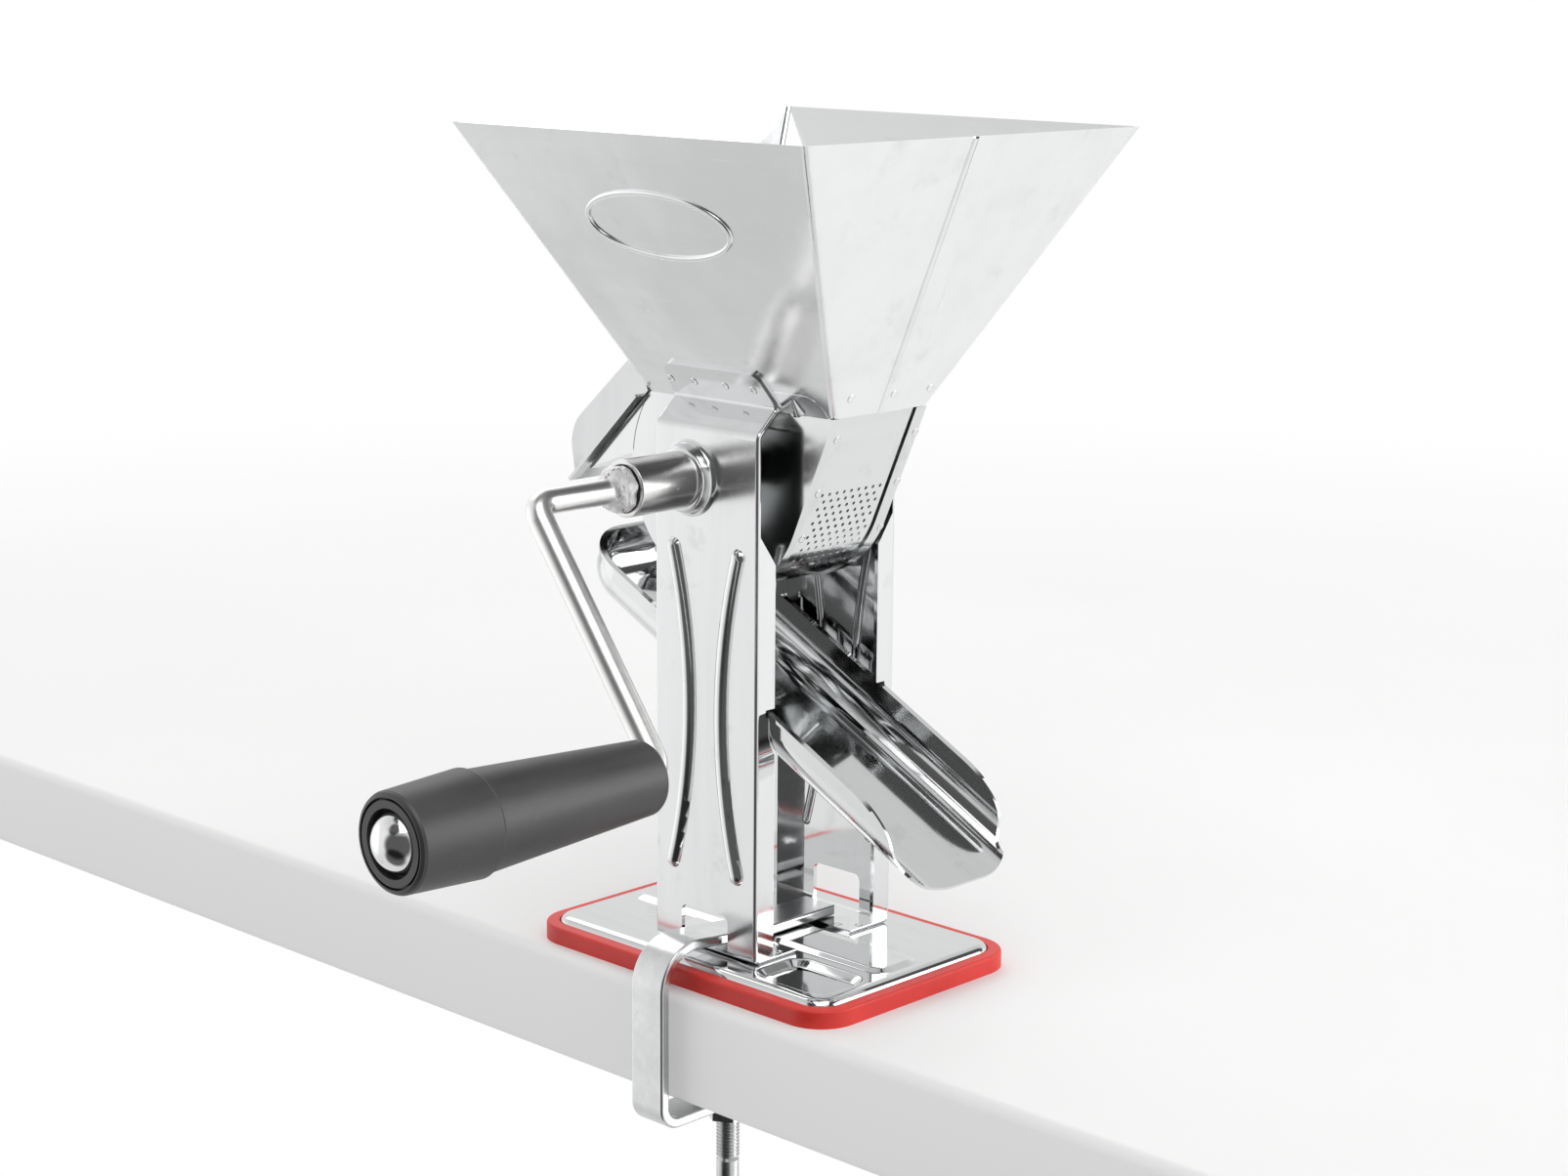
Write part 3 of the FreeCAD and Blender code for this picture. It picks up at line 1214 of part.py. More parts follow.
def write(made):
    """One file per piece."""
    os.makedirs("parts", exist_ok=True)
    for name, shape in made.items():
        shape.exportStep(f"parts/{name}.step")
        print(f"{name}: {len(shape.Solids)} solid, {shape.Volume / 1000:.2f} cm3, valid {shape.isValid()}")


write(pieces())
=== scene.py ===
"""Looks of the hand-cranked food mill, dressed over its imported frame."""

import bpy
import math
from mathutils import Euler, Matrix, Vector


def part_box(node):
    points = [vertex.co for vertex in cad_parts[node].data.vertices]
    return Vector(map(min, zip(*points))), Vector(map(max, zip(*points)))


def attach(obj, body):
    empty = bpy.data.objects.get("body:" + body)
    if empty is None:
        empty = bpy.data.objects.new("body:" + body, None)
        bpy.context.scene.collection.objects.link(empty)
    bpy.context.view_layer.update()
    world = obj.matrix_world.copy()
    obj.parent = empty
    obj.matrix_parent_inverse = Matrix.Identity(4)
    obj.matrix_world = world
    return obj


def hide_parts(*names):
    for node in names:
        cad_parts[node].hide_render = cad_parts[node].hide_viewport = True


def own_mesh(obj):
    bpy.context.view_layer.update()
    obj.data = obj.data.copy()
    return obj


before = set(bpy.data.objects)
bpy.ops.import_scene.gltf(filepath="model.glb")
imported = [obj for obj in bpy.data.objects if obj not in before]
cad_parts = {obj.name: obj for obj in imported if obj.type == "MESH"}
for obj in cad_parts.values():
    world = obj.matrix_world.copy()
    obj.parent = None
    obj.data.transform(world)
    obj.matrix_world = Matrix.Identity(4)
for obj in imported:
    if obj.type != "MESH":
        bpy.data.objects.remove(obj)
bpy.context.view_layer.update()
MM = 0.001           # sizes and places are in millimetres
MICRON = 0.000001    # the depths of marks on a surface are in microns


def corners(node):
    """The lowest and highest corners of a CAD piece, in millimetres."""
    low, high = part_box(node)
    return low / MM, high / MM


# The mill's own places
shaft_low, shaft_high = corners("roller_shaft")
SHAFT_Y, SHAFT_Z = ((shaft_low + shaft_high) / 2).yz
PANEL_X = corners("crank_bush")[1].x    # outer face of the crank-side leg, where its bush ends
TUBE_END = corners("crank_bearing_tube")[0].x

rim_low, rim_high = corners("hopper_crank_half")
THROAT_X = -corners("crank_side_cheek")[0].x    # half width of the hopper's foot
THROAT_FRONT = -48.3
THROAT_REAR = 37.8
THROAT_Z = rim_low.z
WALL_TALL = rim_high.z - rim_low.z              # from the hopper's foot to its rim
SIDE_LEAN = math.atan((-rim_low.x - THROAT_X) / WALL_TALL)
FRONT_LEAN = math.atan((THROAT_FRONT - rim_low.y) / WALL_TALL)
REAR_LEAN = math.atan((rim_high.y - THROAT_REAR) / WALL_TALL)
SEAM_FOOT = -0.98                               # the seam's x at the hopper's foot
SEAM_LEAN = math.atan((SEAM_FOOT - corners("hopper_far_half")[0].x) / WALL_TALL)
LAP_STEP = 0.8       # how far the lapped sheet stands proud at the seam
LAP_PROUD = 0.2      # how far the cheek's lap stands proud of the hopper

# The photograph's camera, fitted to the mill's edges, in pixels, degrees and millimetres
PHOTO_WIDE = 1605
PHOTO_TALL = 1204
MIDDLE_ACROSS = 810.77
MIDDLE_DOWN = 600.56
FOCUS_PIXELS = 3039.65
SENSOR_WIDE = 36.0
EYE = (-709.04, -684.08, 340.55)
EYE_TURN = 46.391
EYE_DROP = 12.102
EYE_ROLL = 0.483

# The floor ends under the clamp, as a slab that the clamp can grip
FLOOR_LOW = (-54.5, -1600.0, -38.8)
FLOOR_HIGH = (2200.0, 2400.0, 0.0)
FLOOR_EDGE = 4.0


class Value:
    """A shader socket that adds its own Math nodes when it is used in sums."""

    def __init__(self, tree, socket):
        self.tree = tree
        self.socket = socket

    def sum(self, operation, first, second):
        made = self.tree.nodes.new("ShaderNodeMath")
        made.operation = operation
        for slot, value in zip(made.inputs, (first, second)):
            if isinstance(value, Value):
                self.tree.links.new(value.socket, slot)
            else:
                slot.default_value = value
        return Value(self.tree, made.outputs[0])

    def __add__(self, other):
        return self.sum("ADD", self, other)

    def __radd__(self, other):
        return self.sum("ADD", other, self)

    def __sub__(self, other):
        return self.sum("SUBTRACT", self, other)

    def __rsub__(self, other):
        return self.sum("SUBTRACT", other, self)

    def __mul__(self, other):
        return self.sum("MULTIPLY", self, other)

    def __rmul__(self, other):
        return self.sum("MULTIPLY", other, self)


class Finish:
    """One node tree, with a method that makes any node."""

    def __init__(self, tree):
        self.tree = tree
        self.tree.nodes.clear()

    def node(self, kind, settings=None, values=None, out=0):
        made = self.tree.nodes.new("ShaderNode" + kind)
        for key, value in (settings or {}).items():
            setattr(made, key, value)
        for key, value in (values or {}).items():
            slot = next(s for s in made.inputs if key in (s.identifier, s.name) and s.enabled)
            if isinstance(value, Value):
                self.tree.links.new(value.socket, slot)
            else:
                slot.default_value = value
        if out is None:
            return None
        outs = made.outputs
        found = outs[out] if isinstance(out, int) else next(s for s in outs if out in (s.identifier, s.name))
        return Value(self.tree, found)

    def place(self, scale=(1, 1, 1), turn=(0, 0, 0)):
        """Object coordinates, stretched and turned."""
        here = self.node("TexCoord", out="Object")
        return self.node("Mapping", None, {"Vector": here, "Scale": scale, "Rotation": turn})

    def cloud(self, where, scale, detail, rough):
        """Soft noise from 0 to 1."""
        return self.node("TexNoise", None, {"Vector": where, "Scale": scale, "Detail": detail, "Roughness": rough})

    def band(self, value, low, high, to_low=0.0, to_high=1.0):
        """A value stretched from one range to another, and held at its ends."""
        return self.node("MapRange", {"interpolation_type": "SMOOTHSTEP"}, {
            "Value": value, "From Min": low, "From Max": high, "To Min": to_low, "To Max": to_high})

    def along_x(self, vector):
        return self.node("SeparateXYZ", None, {"Vector": vector}, "X")

    def outer_side(self):
        """1 on faces that look away from the mill's middle, along X."""
        place = self.along_x(self.node("TexCoord", out="Object"))
        facing = self.along_x(self.node("TexCoord", out="Normal"))
        return self.band(place * facing, 0.020, 0.030)

    def mixed(self, share, first, second):
        """A colour between two."""
        return self.node("Mix", {"data_type": "RGBA"}, {
            "Factor_Float": share, "A_Color": first, "B_Color": second}, "Result_Color")

    def bumped(self, height):
        """A normal from a height in metres."""
        return self.node("Bump", None, {"Height": height, "Distance": 1.0, "Strength": 1.0}, "Normal")

    def skin(self, colour, roughness, height, **constants):
        """The surface, and the tree's end."""
        values = {"Base Color": colour, "Roughness": roughness, "Normal": self.bumped(height)}
        for name, value in constants.items():
            values[name.replace("_", " ")] = value
        self.end(self.node("BsdfPrincipled", None, values))

    def end(self, surface, kind="OutputMaterial"):
        self.node(kind, None, {"Surface": surface}, out=None)


def finish(name):
    material = bpy.data.materials.new(name)
    material.use_nodes = True
    return material, Finish(material.node_tree)


def grey(value, tint):
    return (value * tint[0], value * tint[1], value * tint[2], 1.0)


COOL = (0.985, 0.995, 1.0)
WARM = (1.0, 0.995, 0.985)
MILKY = (1, 0.99, 0.95)


def polished_sheet(name, light, dark, rough, wave, along, outer_satin=0.0):
    """Bright stainless sheet: the press's faint wave, in millimetres, wiping, finger marks and hairlines."""
    material, f = finish(name)
    plain = f.place()
    broad = f.cloud(plain, scale=11.0, detail=2.0, rough=0.5)
    ripple = f.cloud(plain, scale=42.0, detail=2.0, rough=0.5)
    wipe = f.cloud(f.place(scale=along), scale=70.0, detail=5.0, rough=0.6)
    marks = f.band(f.cloud(plain, scale=64.0, detail=5.0, rough=0.65), 0.56, 0.76)
    drawn = f.place(scale=[6.0 * v for v in along])
    hair = f.band(f.cloud(drawn, scale=150.0, detail=2.0, rough=0.5), 0.68, 0.74)
    rubbed = f.band(wipe * 0.7 + marks * 0.3, 0.25, 0.7)
    colour = f.mixed(rubbed, grey(light, COOL), grey(dark, COOL))
    roughness = rough + (wipe - 0.5) * 0.05 + marks * 0.07 + hair * 0.06
    if outer_satin:
        roughness = roughness + f.outer_side() * outer_satin
    press = broad * (wave * MM) + ripple * (0.12 * wave * MM)
    f.skin(colour, roughness, press + wipe * (4 * MICRON) - hair * (3 * MICRON), Metallic=1.0)
    return material


def bright_bar(name, light, dark, rough, ring):
    """Drawn or turned bright metal with fine lines round or along it."""
    material, f = finish(name)
    lines = f.cloud(f.place(scale=ring), scale=420.0, detail=3.0, rough=0.6)
    smear = f.cloud(f.place(), scale=45.0, detail=4.0, rough=0.6)
    pits = f.band(f.cloud(f.place(), scale=900.0, detail=2.0, rough=0.5), 0.70, 0.78)
    colour = f.mixed(f.band(smear, 0.35, 0.7), grey(dark, WARM), grey(light, WARM))
    roughness = rough + (lines - 0.5) * 0.06 + (smear - 0.5) * 0.06 + pits * 0.10
    height = (lines - 0.5) * (4 * MICRON) + smear * (30 * MICRON) - pits * (6 * MICRON)
    f.skin(colour, roughness, height, Metallic=1.0)
    return material


def plated_zinc(name, light, dark, rough):
    """Bright zinc plate: pale metal with cloudy patches, drag lines and small dents."""
    material, f = finish(name)
    cloud = f.cloud(f.place(), scale=120.0, detail=5.0, rough=0.65)
    patch = f.cloud(f.place(), scale=24.0, detail=3.0, rough=0.5)
    drag = f.cloud(f.place(scale=(1.0, 1.0, 0.06)), scale=700.0, detail=2.0, rough=0.6)
    dents = f.band(f.cloud(f.place(), scale=210.0, detail=2.0, rough=0.4), 0.62, 0.75)
    colour = f.mixed(f.band(cloud * 0.5 + patch * 0.5, 0.35, 0.65), grey(dark, COOL), grey(light, COOL))
    roughness = rough + (cloud - 0.5) * 0.16 + (drag - 0.5) * 0.08
    height = (cloud - 0.5) * (20 * MICRON) + (drag - 0.5) * (5 * MICRON) - dents * (15 * MICRON)
    f.skin(colour, roughness, height, Metallic=1.0)
    return material


def weld_metal(name):
    """Weld metal: pale silver ripples, and black specks in the hollows."""
    material, f = finish(name)
    ripple = f.cloud(f.place(scale=(2.4, 1.0, 1.0)), scale=380.0, detail=5.0, rough=0.65)
    heat = f.cloud(f.place(), scale=160.0, detail=3.0, rough=0.5)
    soot = f.band(f.cloud(f.place(), scale=420.0, detail=3.0, rough=0.6), 0.60, 0.67)
    silver = f.mixed(f.band(heat, 0.45, 0.75), (0.95, 0.95, 0.95, 1), (0.90, 0.89, 0.87, 1))
    colour = f.mixed(soot * 0.9, silver, (0.08, 0.075, 0.07, 1))
    f.skin(colour, 0.30 + ripple * 0.22, ripple * (900 * MICRON), Metallic=1.0)
    return material


def red_rubber(name):
    """Moulded red rubber: matt bloom, fine grain and a few paler scuffs."""
    material, f = finish(name)
    grain = f.cloud(f.place(), scale=1500.0, detail=2.0, rough=0.5)
    bloom = f.cloud(f.place(), scale=38.0, detail=4.0, rough=0.6)
    scuff = f.band(f.cloud(f.place(scale=(1, 1, 3.0)), scale=160.0, detail=4.0, rough=0.65), 0.6, 0.78)
    base = f.mixed(f.band(bloom, 0.35, 0.7), (0.66, 0.030, 0.022, 1), (0.75, 0.042, 0.032, 1))
    colour = f.mixed(scuff * 0.22, base, (0.82, 0.14, 0.10, 1))
    roughness = 0.36 + bloom * 0.16 + scuff * 0.1
    f.skin(colour, roughness, grain * (20 * MICRON) + scuff * (20 * MICRON), Specular_IOR_Level=0.45)
    return material


def black_plastic(name):
    """Moulded black plastic with a satin spark-eroded grain and rubbed high spots."""
    material, f = finish(name)
    grain = f.cloud(f.place(), scale=1900.0, detail=3.0, rough=0.55)
    rub = f.cloud(f.place(scale=(0.5, 1.4, 1.4)), scale=42.0, detail=4.0, rough=0.6)
    nick = f.band(f.cloud(f.place(), scale=240.0, detail=3.0, rough=0.5), 0.70, 0.80)
    base = f.mixed(f.band(rub, 0.3, 0.7), (0.022, 0.022, 0.023, 1), (0.036, 0.036, 0.038, 1))
    colour = f.mixed(nick * 0.3, base, (0.07, 0.07, 0.075, 1))
    roughness = 0.44 + (rub - 0.5) * 0.14 + (grain - 0.5) * 0.08
    f.skin(colour, roughness, grain * (20 * MICRON) - nick * (30 * MICRON), Specular_IOR_Level=0.8)
    return material


def white_nylon(name, light):
    """Milky nylon with turning lines and faint staining from use; its lightness is given, and a low one paints
    shade into it.
    """
    material, f = finish(name)
    lines = f.cloud(f.place(scale=(14.0, 1.0, 1.0)), scale=90.0, detail=3.0, rough=0.5)
    stain = f.band(f.cloud(f.place(), scale=60.0, detail=4.0, rough=0.6), 0.5, 0.75)
    colour = f.mixed(stain * 0.45, grey(light, MILKY), (0.70, 0.58, 0.42, 1))
    f.skin(colour, 0.42 + (lines - 0.5) * 0.2, lines * (40 * MICRON))
    return material


def mirror_chrome(name):
    """Bright plated dome with hairline scratches and finger marks."""
    material, f = finish(name)
    smear = f.cloud(f.place(), scale=130.0, detail=4.0, rough=0.6)
    scratched = f.place(scale=(1, 9.0, 1), turn=(0.5, 0, 0))
    hair = f.band(f.cloud(scratched, scale=260.0, detail=2.0, rough=0.5), 0.62, 0.70)
    colour = f.mixed(f.band(smear, 0.3, 0.7), (0.84, 0.845, 0.85, 1), (0.90, 0.90, 0.905, 1))
    f.skin(colour, 0.04 + smear * 0.06 + hair * 0.10, hair * (-4 * MICRON), Metallic=1.0)
    return material


# Finishes. A sheet's wiping marks run along the axis with the small share.
hopper_steel = polished_sheet("hopper_steel", 0.88, 0.79, 0.15, 0.9, (1.0, 0.10, 1.0))
leg_steel = polished_sheet("leg_steel", 0.78, 0.70, 0.07, 0.3, (1.0, 1.0, 0.10), outer_satin=0.12)
drum_steel = polished_sheet("drum_steel", 0.76, 0.68, 0.12, 0.2, (1.0, 1.0, 0.12))
hood_steel = polished_sheet("hood_steel", 0.72, 0.64, 0.34, 0.2, (1.0, 1.0, 0.12))
screen_steel = polished_sheet("screen_steel", 0.78, 0.70, 0.12, 0.2, (0.10, 1.0, 1.0))
base_steel = polished_sheet("base_steel", 0.74, 0.66, 0.06, 0.2, (1.0, 0.10, 1.0))
chute_steel = polished_sheet("chute_steel", 0.74, 0.66, 0.08, 0.2, (1.0, 0.10, 0.14))
tube_steel = bright_bar("tube_steel", 0.84, 0.74, 0.25, (8.0, 0.3, 0.3))
bar_chrome = bright_bar("bar_chrome", 0.94, 0.87, 0.31, (0.2, 1.0, 1.0))
shaft_steel = bright_bar("shaft_steel", 0.66, 0.55, 0.16, (8.0, 0.3, 0.3))
spring_steel = bright_bar("spring_steel", 0.52, 0.40, 0.22, (0.2, 1.0, 1.0))
strap_zinc = plated_zinc("strap_zinc", 0.80, 0.68, 0.22)
screw_zinc = plated_zinc("screw_zinc", 0.64, 0.50, 0.26)
weld_silver = weld_metal("weld_silver")
gasket_rubber = red_rubber("gasket_rubber")
grip_plastic = black_plastic("grip_plastic")
bush_plastic = black_plastic("bush_plastic")
# Painted shade: the roller and blades are dark grey, far below milky nylon, so the screen's holes read dark.
roller_nylon = white_nylon("roller_nylon", 0.28)
cap_chrome = mirror_chrome("cap_chrome")

BLADES = (1, 2, 3, 4)
NODE_FINISH = {
    "hopper_crank_half": hopper_steel, "hopper_far_half": hopper_steel,
    "crank_side_leg": leg_steel, "far_leg": leg_steel,
    "crank_side_cheek": drum_steel, "far_cheek": drum_steel, "rear_apron": drum_steel, "waste_hood": hood_steel,
    "screen": screen_steel, "base_plate": base_steel, "base_gasket": gasket_rubber, "juice_chute": chute_steel,
    "crank_bearing_tube": tube_steel, "crank_bush": bush_plastic, "far_bush": bush_plastic,
    "roller_shaft": shaft_steel, "roller_pin": shaft_steel, "far_washer": shaft_steel, "shaft_clip": spring_steel,
    "roller_body": roller_nylon, "crank_rod": bar_chrome, "crank_weld": weld_silver, "grip": grip_plastic,
    "grip_cap": cap_chrome, "clamp_strap": strap_zinc, "clamp_nut": strap_zinc, "clamp_pad": screw_zinc,
    "clamp_screw": screw_zinc, "tommy_bar": screw_zinc,
}
for number in BLADES:
    NODE_FINISH[f"vane_{number}"] = roller_nylon
    NODE_FINISH[f"vane_spring_{number}"] = spring_steel


def dress(thing, material):
    thing.data.materials.clear()
    thing.data.materials.append(material)


for node, material in NODE_FINISH.items():
    dress(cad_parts[node], material)


# Working at the bench


def alone(thing=None):
    """Deselect everything, then pick one thing."""
    if bpy.context.mode != "OBJECT":
        bpy.ops.object.mode_set(mode="OBJECT")
    bpy.ops.object.select_all(action="DESELECT")
    if thing:
        thing.select_set(True)
        bpy.context.view_layer.objects.active = thing


def fresh(name):
    """The primitive just added, under its own name."""
    thing = bpy.context.object
    thing.name = name
    thing.data.name = name
    return thing


def linked(name, data):
    """A new object in the scene."""
    thing = bpy.data.objects.new(name, data)
    bpy.context.scene.collection.objects.link(thing)
    return thing


def choose(thing, kind, wanted):
    """Go into edit mode with only the wanted verts, edges or faces selected."""
    alone(thing)
    bpy.ops.object.mode_set(mode="EDIT")
    bpy.ops.mesh.select_mode(type=kind)
    bpy.ops.mesh.select_all(action="DESELECT")
    bpy.ops.object.mode_set(mode="OBJECT")
    mesh = thing.data
    for part in {"VERT": mesh.vertices, "EDGE": mesh.edges, "FACE": mesh.polygons}[kind]:
        part.select = wanted(part)
    bpy.ops.object.mode_set(mode="EDIT")


def choose_all(thing):
    choose(thing, "VERT", lambda v: True)


def ends_of(thing, edge):
    return [thing.data.vertices[v].co for v in edge.vertices]


def taller_than(thing, height):
    """A test for edges that rise by more than a height."""
    def test(edge):
        low, high = ends_of(thing, edge)
        return abs(low.z - high.z) > height * MM
    return test


def settle(thing):
    """Back to object mode, with the object's own turn and scale put into its mesh."""
    alone(thing)
    bpy.ops.object.transform_apply(location=True, rotation=True, scale=True)
    return thing


def modified(thing, kind, **settings):
    """Add a modifier, set it and apply it."""
    made = thing.modifiers.new(kind, kind)
    for key, value in settings.items():
        setattr(made, key, value)
    alone(thing)
    bpy.ops.object.modifier_apply(modifier=made.name)


def smooth(thing, degrees):
    alone(thing)
    bpy.ops.object.shade_smooth_by_angle(angle=math.radians(degrees))


def fitted(thing, body, material):
    """Dress a piece, and hang it on the body that carries it."""
    dress(thing, material)
    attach(thing, body)


def copied(thing, name, at, out):
    """A copy with its own mesh, its middle at a point and its Z pointing out."""
    other = linked(name, thing.data.copy())
    other.data.name = name
    aim = Vector(out).to_track_quat("Z", "Y").to_matrix().to_4x4()
    other.data.transform(Matrix.Translation(at) @ aim)
    return other


def touch(node, start, way):
    """Where a straight line from a point, in millimetres, first meets a node, and which way it faces there."""
    met, at, out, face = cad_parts[node].ray_cast(Vector(start) * MM, Vector(way))
    if not met:
        raise ValueError(f"nothing of {node} lies there")
    return at, out


# Pieces


def lumps(thing, name, size, height):
    """Push a surface in and out by a clouded pattern."""
    pattern = bpy.data.textures.new(name, "CLOUDS")
    pattern.noise_scale = size * MM
    modified(thing, "DISPLACE", texture=pattern, texture_coords="LOCAL", strength=height * MM, mid_level=0.5)


def weld_bead():
    """The lumpy weld that holds the crank's rod to the end of its shaft."""
    radius = 7.6
    middle = Vector((-65.7, SHAFT_Y, SHAFT_Z)) * MM
    brow = Vector((-66.0, SHAFT_Y, SHAFT_Z)) * MM
    flatter = 0.82    # beyond its brow
    gap = 0.55        # to the tube's end
    alone()
    bpy.ops.mesh.primitive_uv_sphere_add(
        segments=72, ring_count=48, radius=radius * MM, location=middle, rotation=(0, math.radians(-90), 0))
    bead = settle(fresh("weld_bead"))
    choose(bead, "VERT", lambda v: v.co.x < brow.x)
    bpy.ops.transform.resize(value=(flatter, 1.0, 1.0), center_override=brow)
    lumps(bead, "big_lumps", size=4.5, height=2.2)
    lumps(bead, "run_marks", size=1.4, height=0.9)
    choose_all(bead)
    back = Vector((TUBE_END - gap, 0, 0)) * MM
    bpy.ops.mesh.bisect(plane_co=back, plane_no=(1, 0, 0), use_fill=True, clear_outer=True)
    smooth(settle(bead), 60)
    fitted(bead, "crank", weld_silver)
    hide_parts("crank_weld")


def tube_collar():
    """The neck drawn out of the leg round the bearing tube: a swept root, a band and a thin lip."""
    out_and_radius = [(-0.2, 13.6), (0.1, 12.7), (0.7, 11.75), (1.6, 11.2),
                      (3.9, 11.0), (4.5, 10.85), (4.8, 10.5), (4.8, 9.3)]
    wall = 0.25
    alone()
    bpy.ops.mesh.primitive_plane_add(size=1.0)
    collar = fresh("tube_collar")
    choose(collar, "VERT", lambda v: v.index > 0)
    bpy.ops.mesh.delete(type="VERT")
    alone(collar)
    first_out, first_radius = out_and_radius[0]
    collar.data.vertices[0].co = Vector((PANEL_X - first_out, SHAFT_Y, SHAFT_Z + first_radius)) * MM
    choose_all(collar)
    for (out, radius), (next_out, next_radius) in zip(out_and_radius, out_and_radius[1:]):
        step = Vector((out - next_out, 0, next_radius - radius)) * MM
        bpy.ops.mesh.extrude_vertices_move(TRANSFORM_OT_translate={"value": step})
    bpy.ops.mesh.select_all(action="SELECT")
    bpy.ops.mesh.spin(
        steps=96, angle=math.radians(360), center=Vector((0, SHAFT_Y, SHAFT_Z)) * MM, axis=(1, 0, 0))
    bpy.ops.mesh.select_all(action="SELECT")
    bpy.ops.mesh.remove_doubles(threshold=0.01 * MM)
    bpy.ops.mesh.normals_make_consistent(inside=False)
    modified(settle(collar), "SOLIDIFY", thickness=wall * MM, offset=-1.0)
    smooth(collar, 50)
    fitted(collar, "frame", leg_steel)


def on_side_wall(y, rise, proud=0.0):
    """The frame of a place on the hopper's crank-side wall: X into the wall, Y along it and Z up it."""
    lean = Matrix.Rotation(-SIDE_LEAN, 4, "Y")
    foot = Matrix.Translation(Vector((-THROAT_X, y, THROAT_Z)) * MM)
    return foot @ lean @ Matrix.Translation(Vector((-proud, 0, rise)) * MM)


def cheek_lap():
    """The top of a drum cheek, lapped up the hopper's wall beside the leg's tab, with one round corner."""
    front, rear = -45.4, -24.6
    tall = 8.8
    tucked = 0.6    # below the hopper's foot
    corner = 7.0
    edge_round = 0.12
    alone()
    bpy.ops.mesh.primitive_cube_add(size=1.0, scale=Vector((2 * LAP_PROUD, rear - front, tall)) * MM)
    lap = settle(fresh("cheek_lap"))

    def top_corner(edge):
        a, b = ends_of(lap, edge)
        return max(a.y, b.y) < 0 and min(a.z, b.z) > 0

    choose(lap, "EDGE", top_corner)
    bpy.ops.mesh.bevel(offset=corner * MM, segments=12, profile=0.5)
    modified(settle(lap), "BEVEL", width=edge_round * MM, segments=2, limit_method="ANGLE")
    lap.data.transform(on_side_wall((front + rear) / 2, tall / 2 - tucked))
    smooth(lap, 20)
    fitted(lap, "frame", hopper_steel)


def lanced_lug():
    """The small three-cornered lug pushed out over the cheek's lap: narrow at the top, open below."""
    tall = 6.6
    foot_radius, tip_radius = 2.3, 0.4
    wall = 0.4
    hollow = 1.6
    edge_round = 0.3
    lug_y = -33.0
    clear = 0.3    # above the hopper's foot
    alone()
    bpy.ops.mesh.primitive_cone_add(
        vertices=6, radius1=foot_radius * MM, radius2=tip_radius * MM, depth=tall * MM)
    lug = fresh("lanced_lug")
    choose(lug, "FACE", lambda p: p.normal.z < -0.9)
    bpy.ops.mesh.inset(thickness=wall * MM)
    bpy.ops.transform.translate(value=(0, 0, hollow * MM))
    choose(lug, "EDGE", taller_than(lug, 4.0))
    bpy.ops.mesh.bevel(offset=edge_round * MM, segments=3)
    alone(lug)
    lug.data.transform(on_side_wall(lug_y, tall / 2 + clear, LAP_PROUD))
    smooth(lug, 30)
    fitted(lug, "frame", drum_steel)


def seam_edge(name, edge_y, lean, side):
    """The dressed edge of the lapped sheet: a slim ramp from the seam down to the sheet below it."""
    short = 0.4     # of the rim
    long = WALL_TALL / math.cos(lean) - short
    wide = 1.7
    lip = 0.3       # what is left of the width on the outside
    lapped = 0.2    # from the seam over the upper sheet
    sunk = 0.02
    edge_round = 0.12
    alone()
    bpy.ops.mesh.primitive_cube_add(size=1.0, scale=Vector((wide, LAP_STEP, long)) * MM)
    edge = settle(fresh(name))
    choose(edge, "VERT", lambda v: v.co.x < 0 and v.co.y * side > 0)
    bpy.ops.transform.translate(value=((wide - lip) * MM, 0, 0))
    choose(edge, "EDGE", taller_than(edge, long / 2))
    bpy.ops.mesh.bevel(offset=edge_round * MM, segments=3)
    settle(edge)
    foot = Matrix.Translation(Vector((SEAM_FOOT, edge_y, THROAT_Z)) * MM)
    stand = Matrix.Rotation(-lean * side, 4, "X") @ Matrix.Rotation(-SEAM_LEAN, 4, "Y")
    middle = Vector((lapped - wide / 2, side * (LAP_STEP / 2 - sunk), long / 2)) * MM
    edge.data.transform(foot @ stand @ Matrix.Translation(middle))
    smooth(edge, 35)
    fitted(edge, "frame", hopper_steel)


def spot_mark():
    """One resistance-weld spot: a low ring with a dimple in it."""
    radius, thick = 1.5, 0.6
    inwards_and_up = ((0.30, 0.10), (0.20, 0.0), (0.30, -0.16), (0.35, -0.08))
    alone()
    bpy.ops.mesh.primitive_cylinder_add(vertices=28, radius=radius * MM, depth=thick * MM)
    mark = fresh("spot_mark")
    choose(mark, "FACE", lambda p: p.normal.z > 0.9)
    for inwards, up in inwards_and_up:
        bpy.ops.mesh.inset(thickness=inwards * MM)
        bpy.ops.transform.translate(value=(0, 0, up * MM))
    smooth(mark, 80)
    return mark


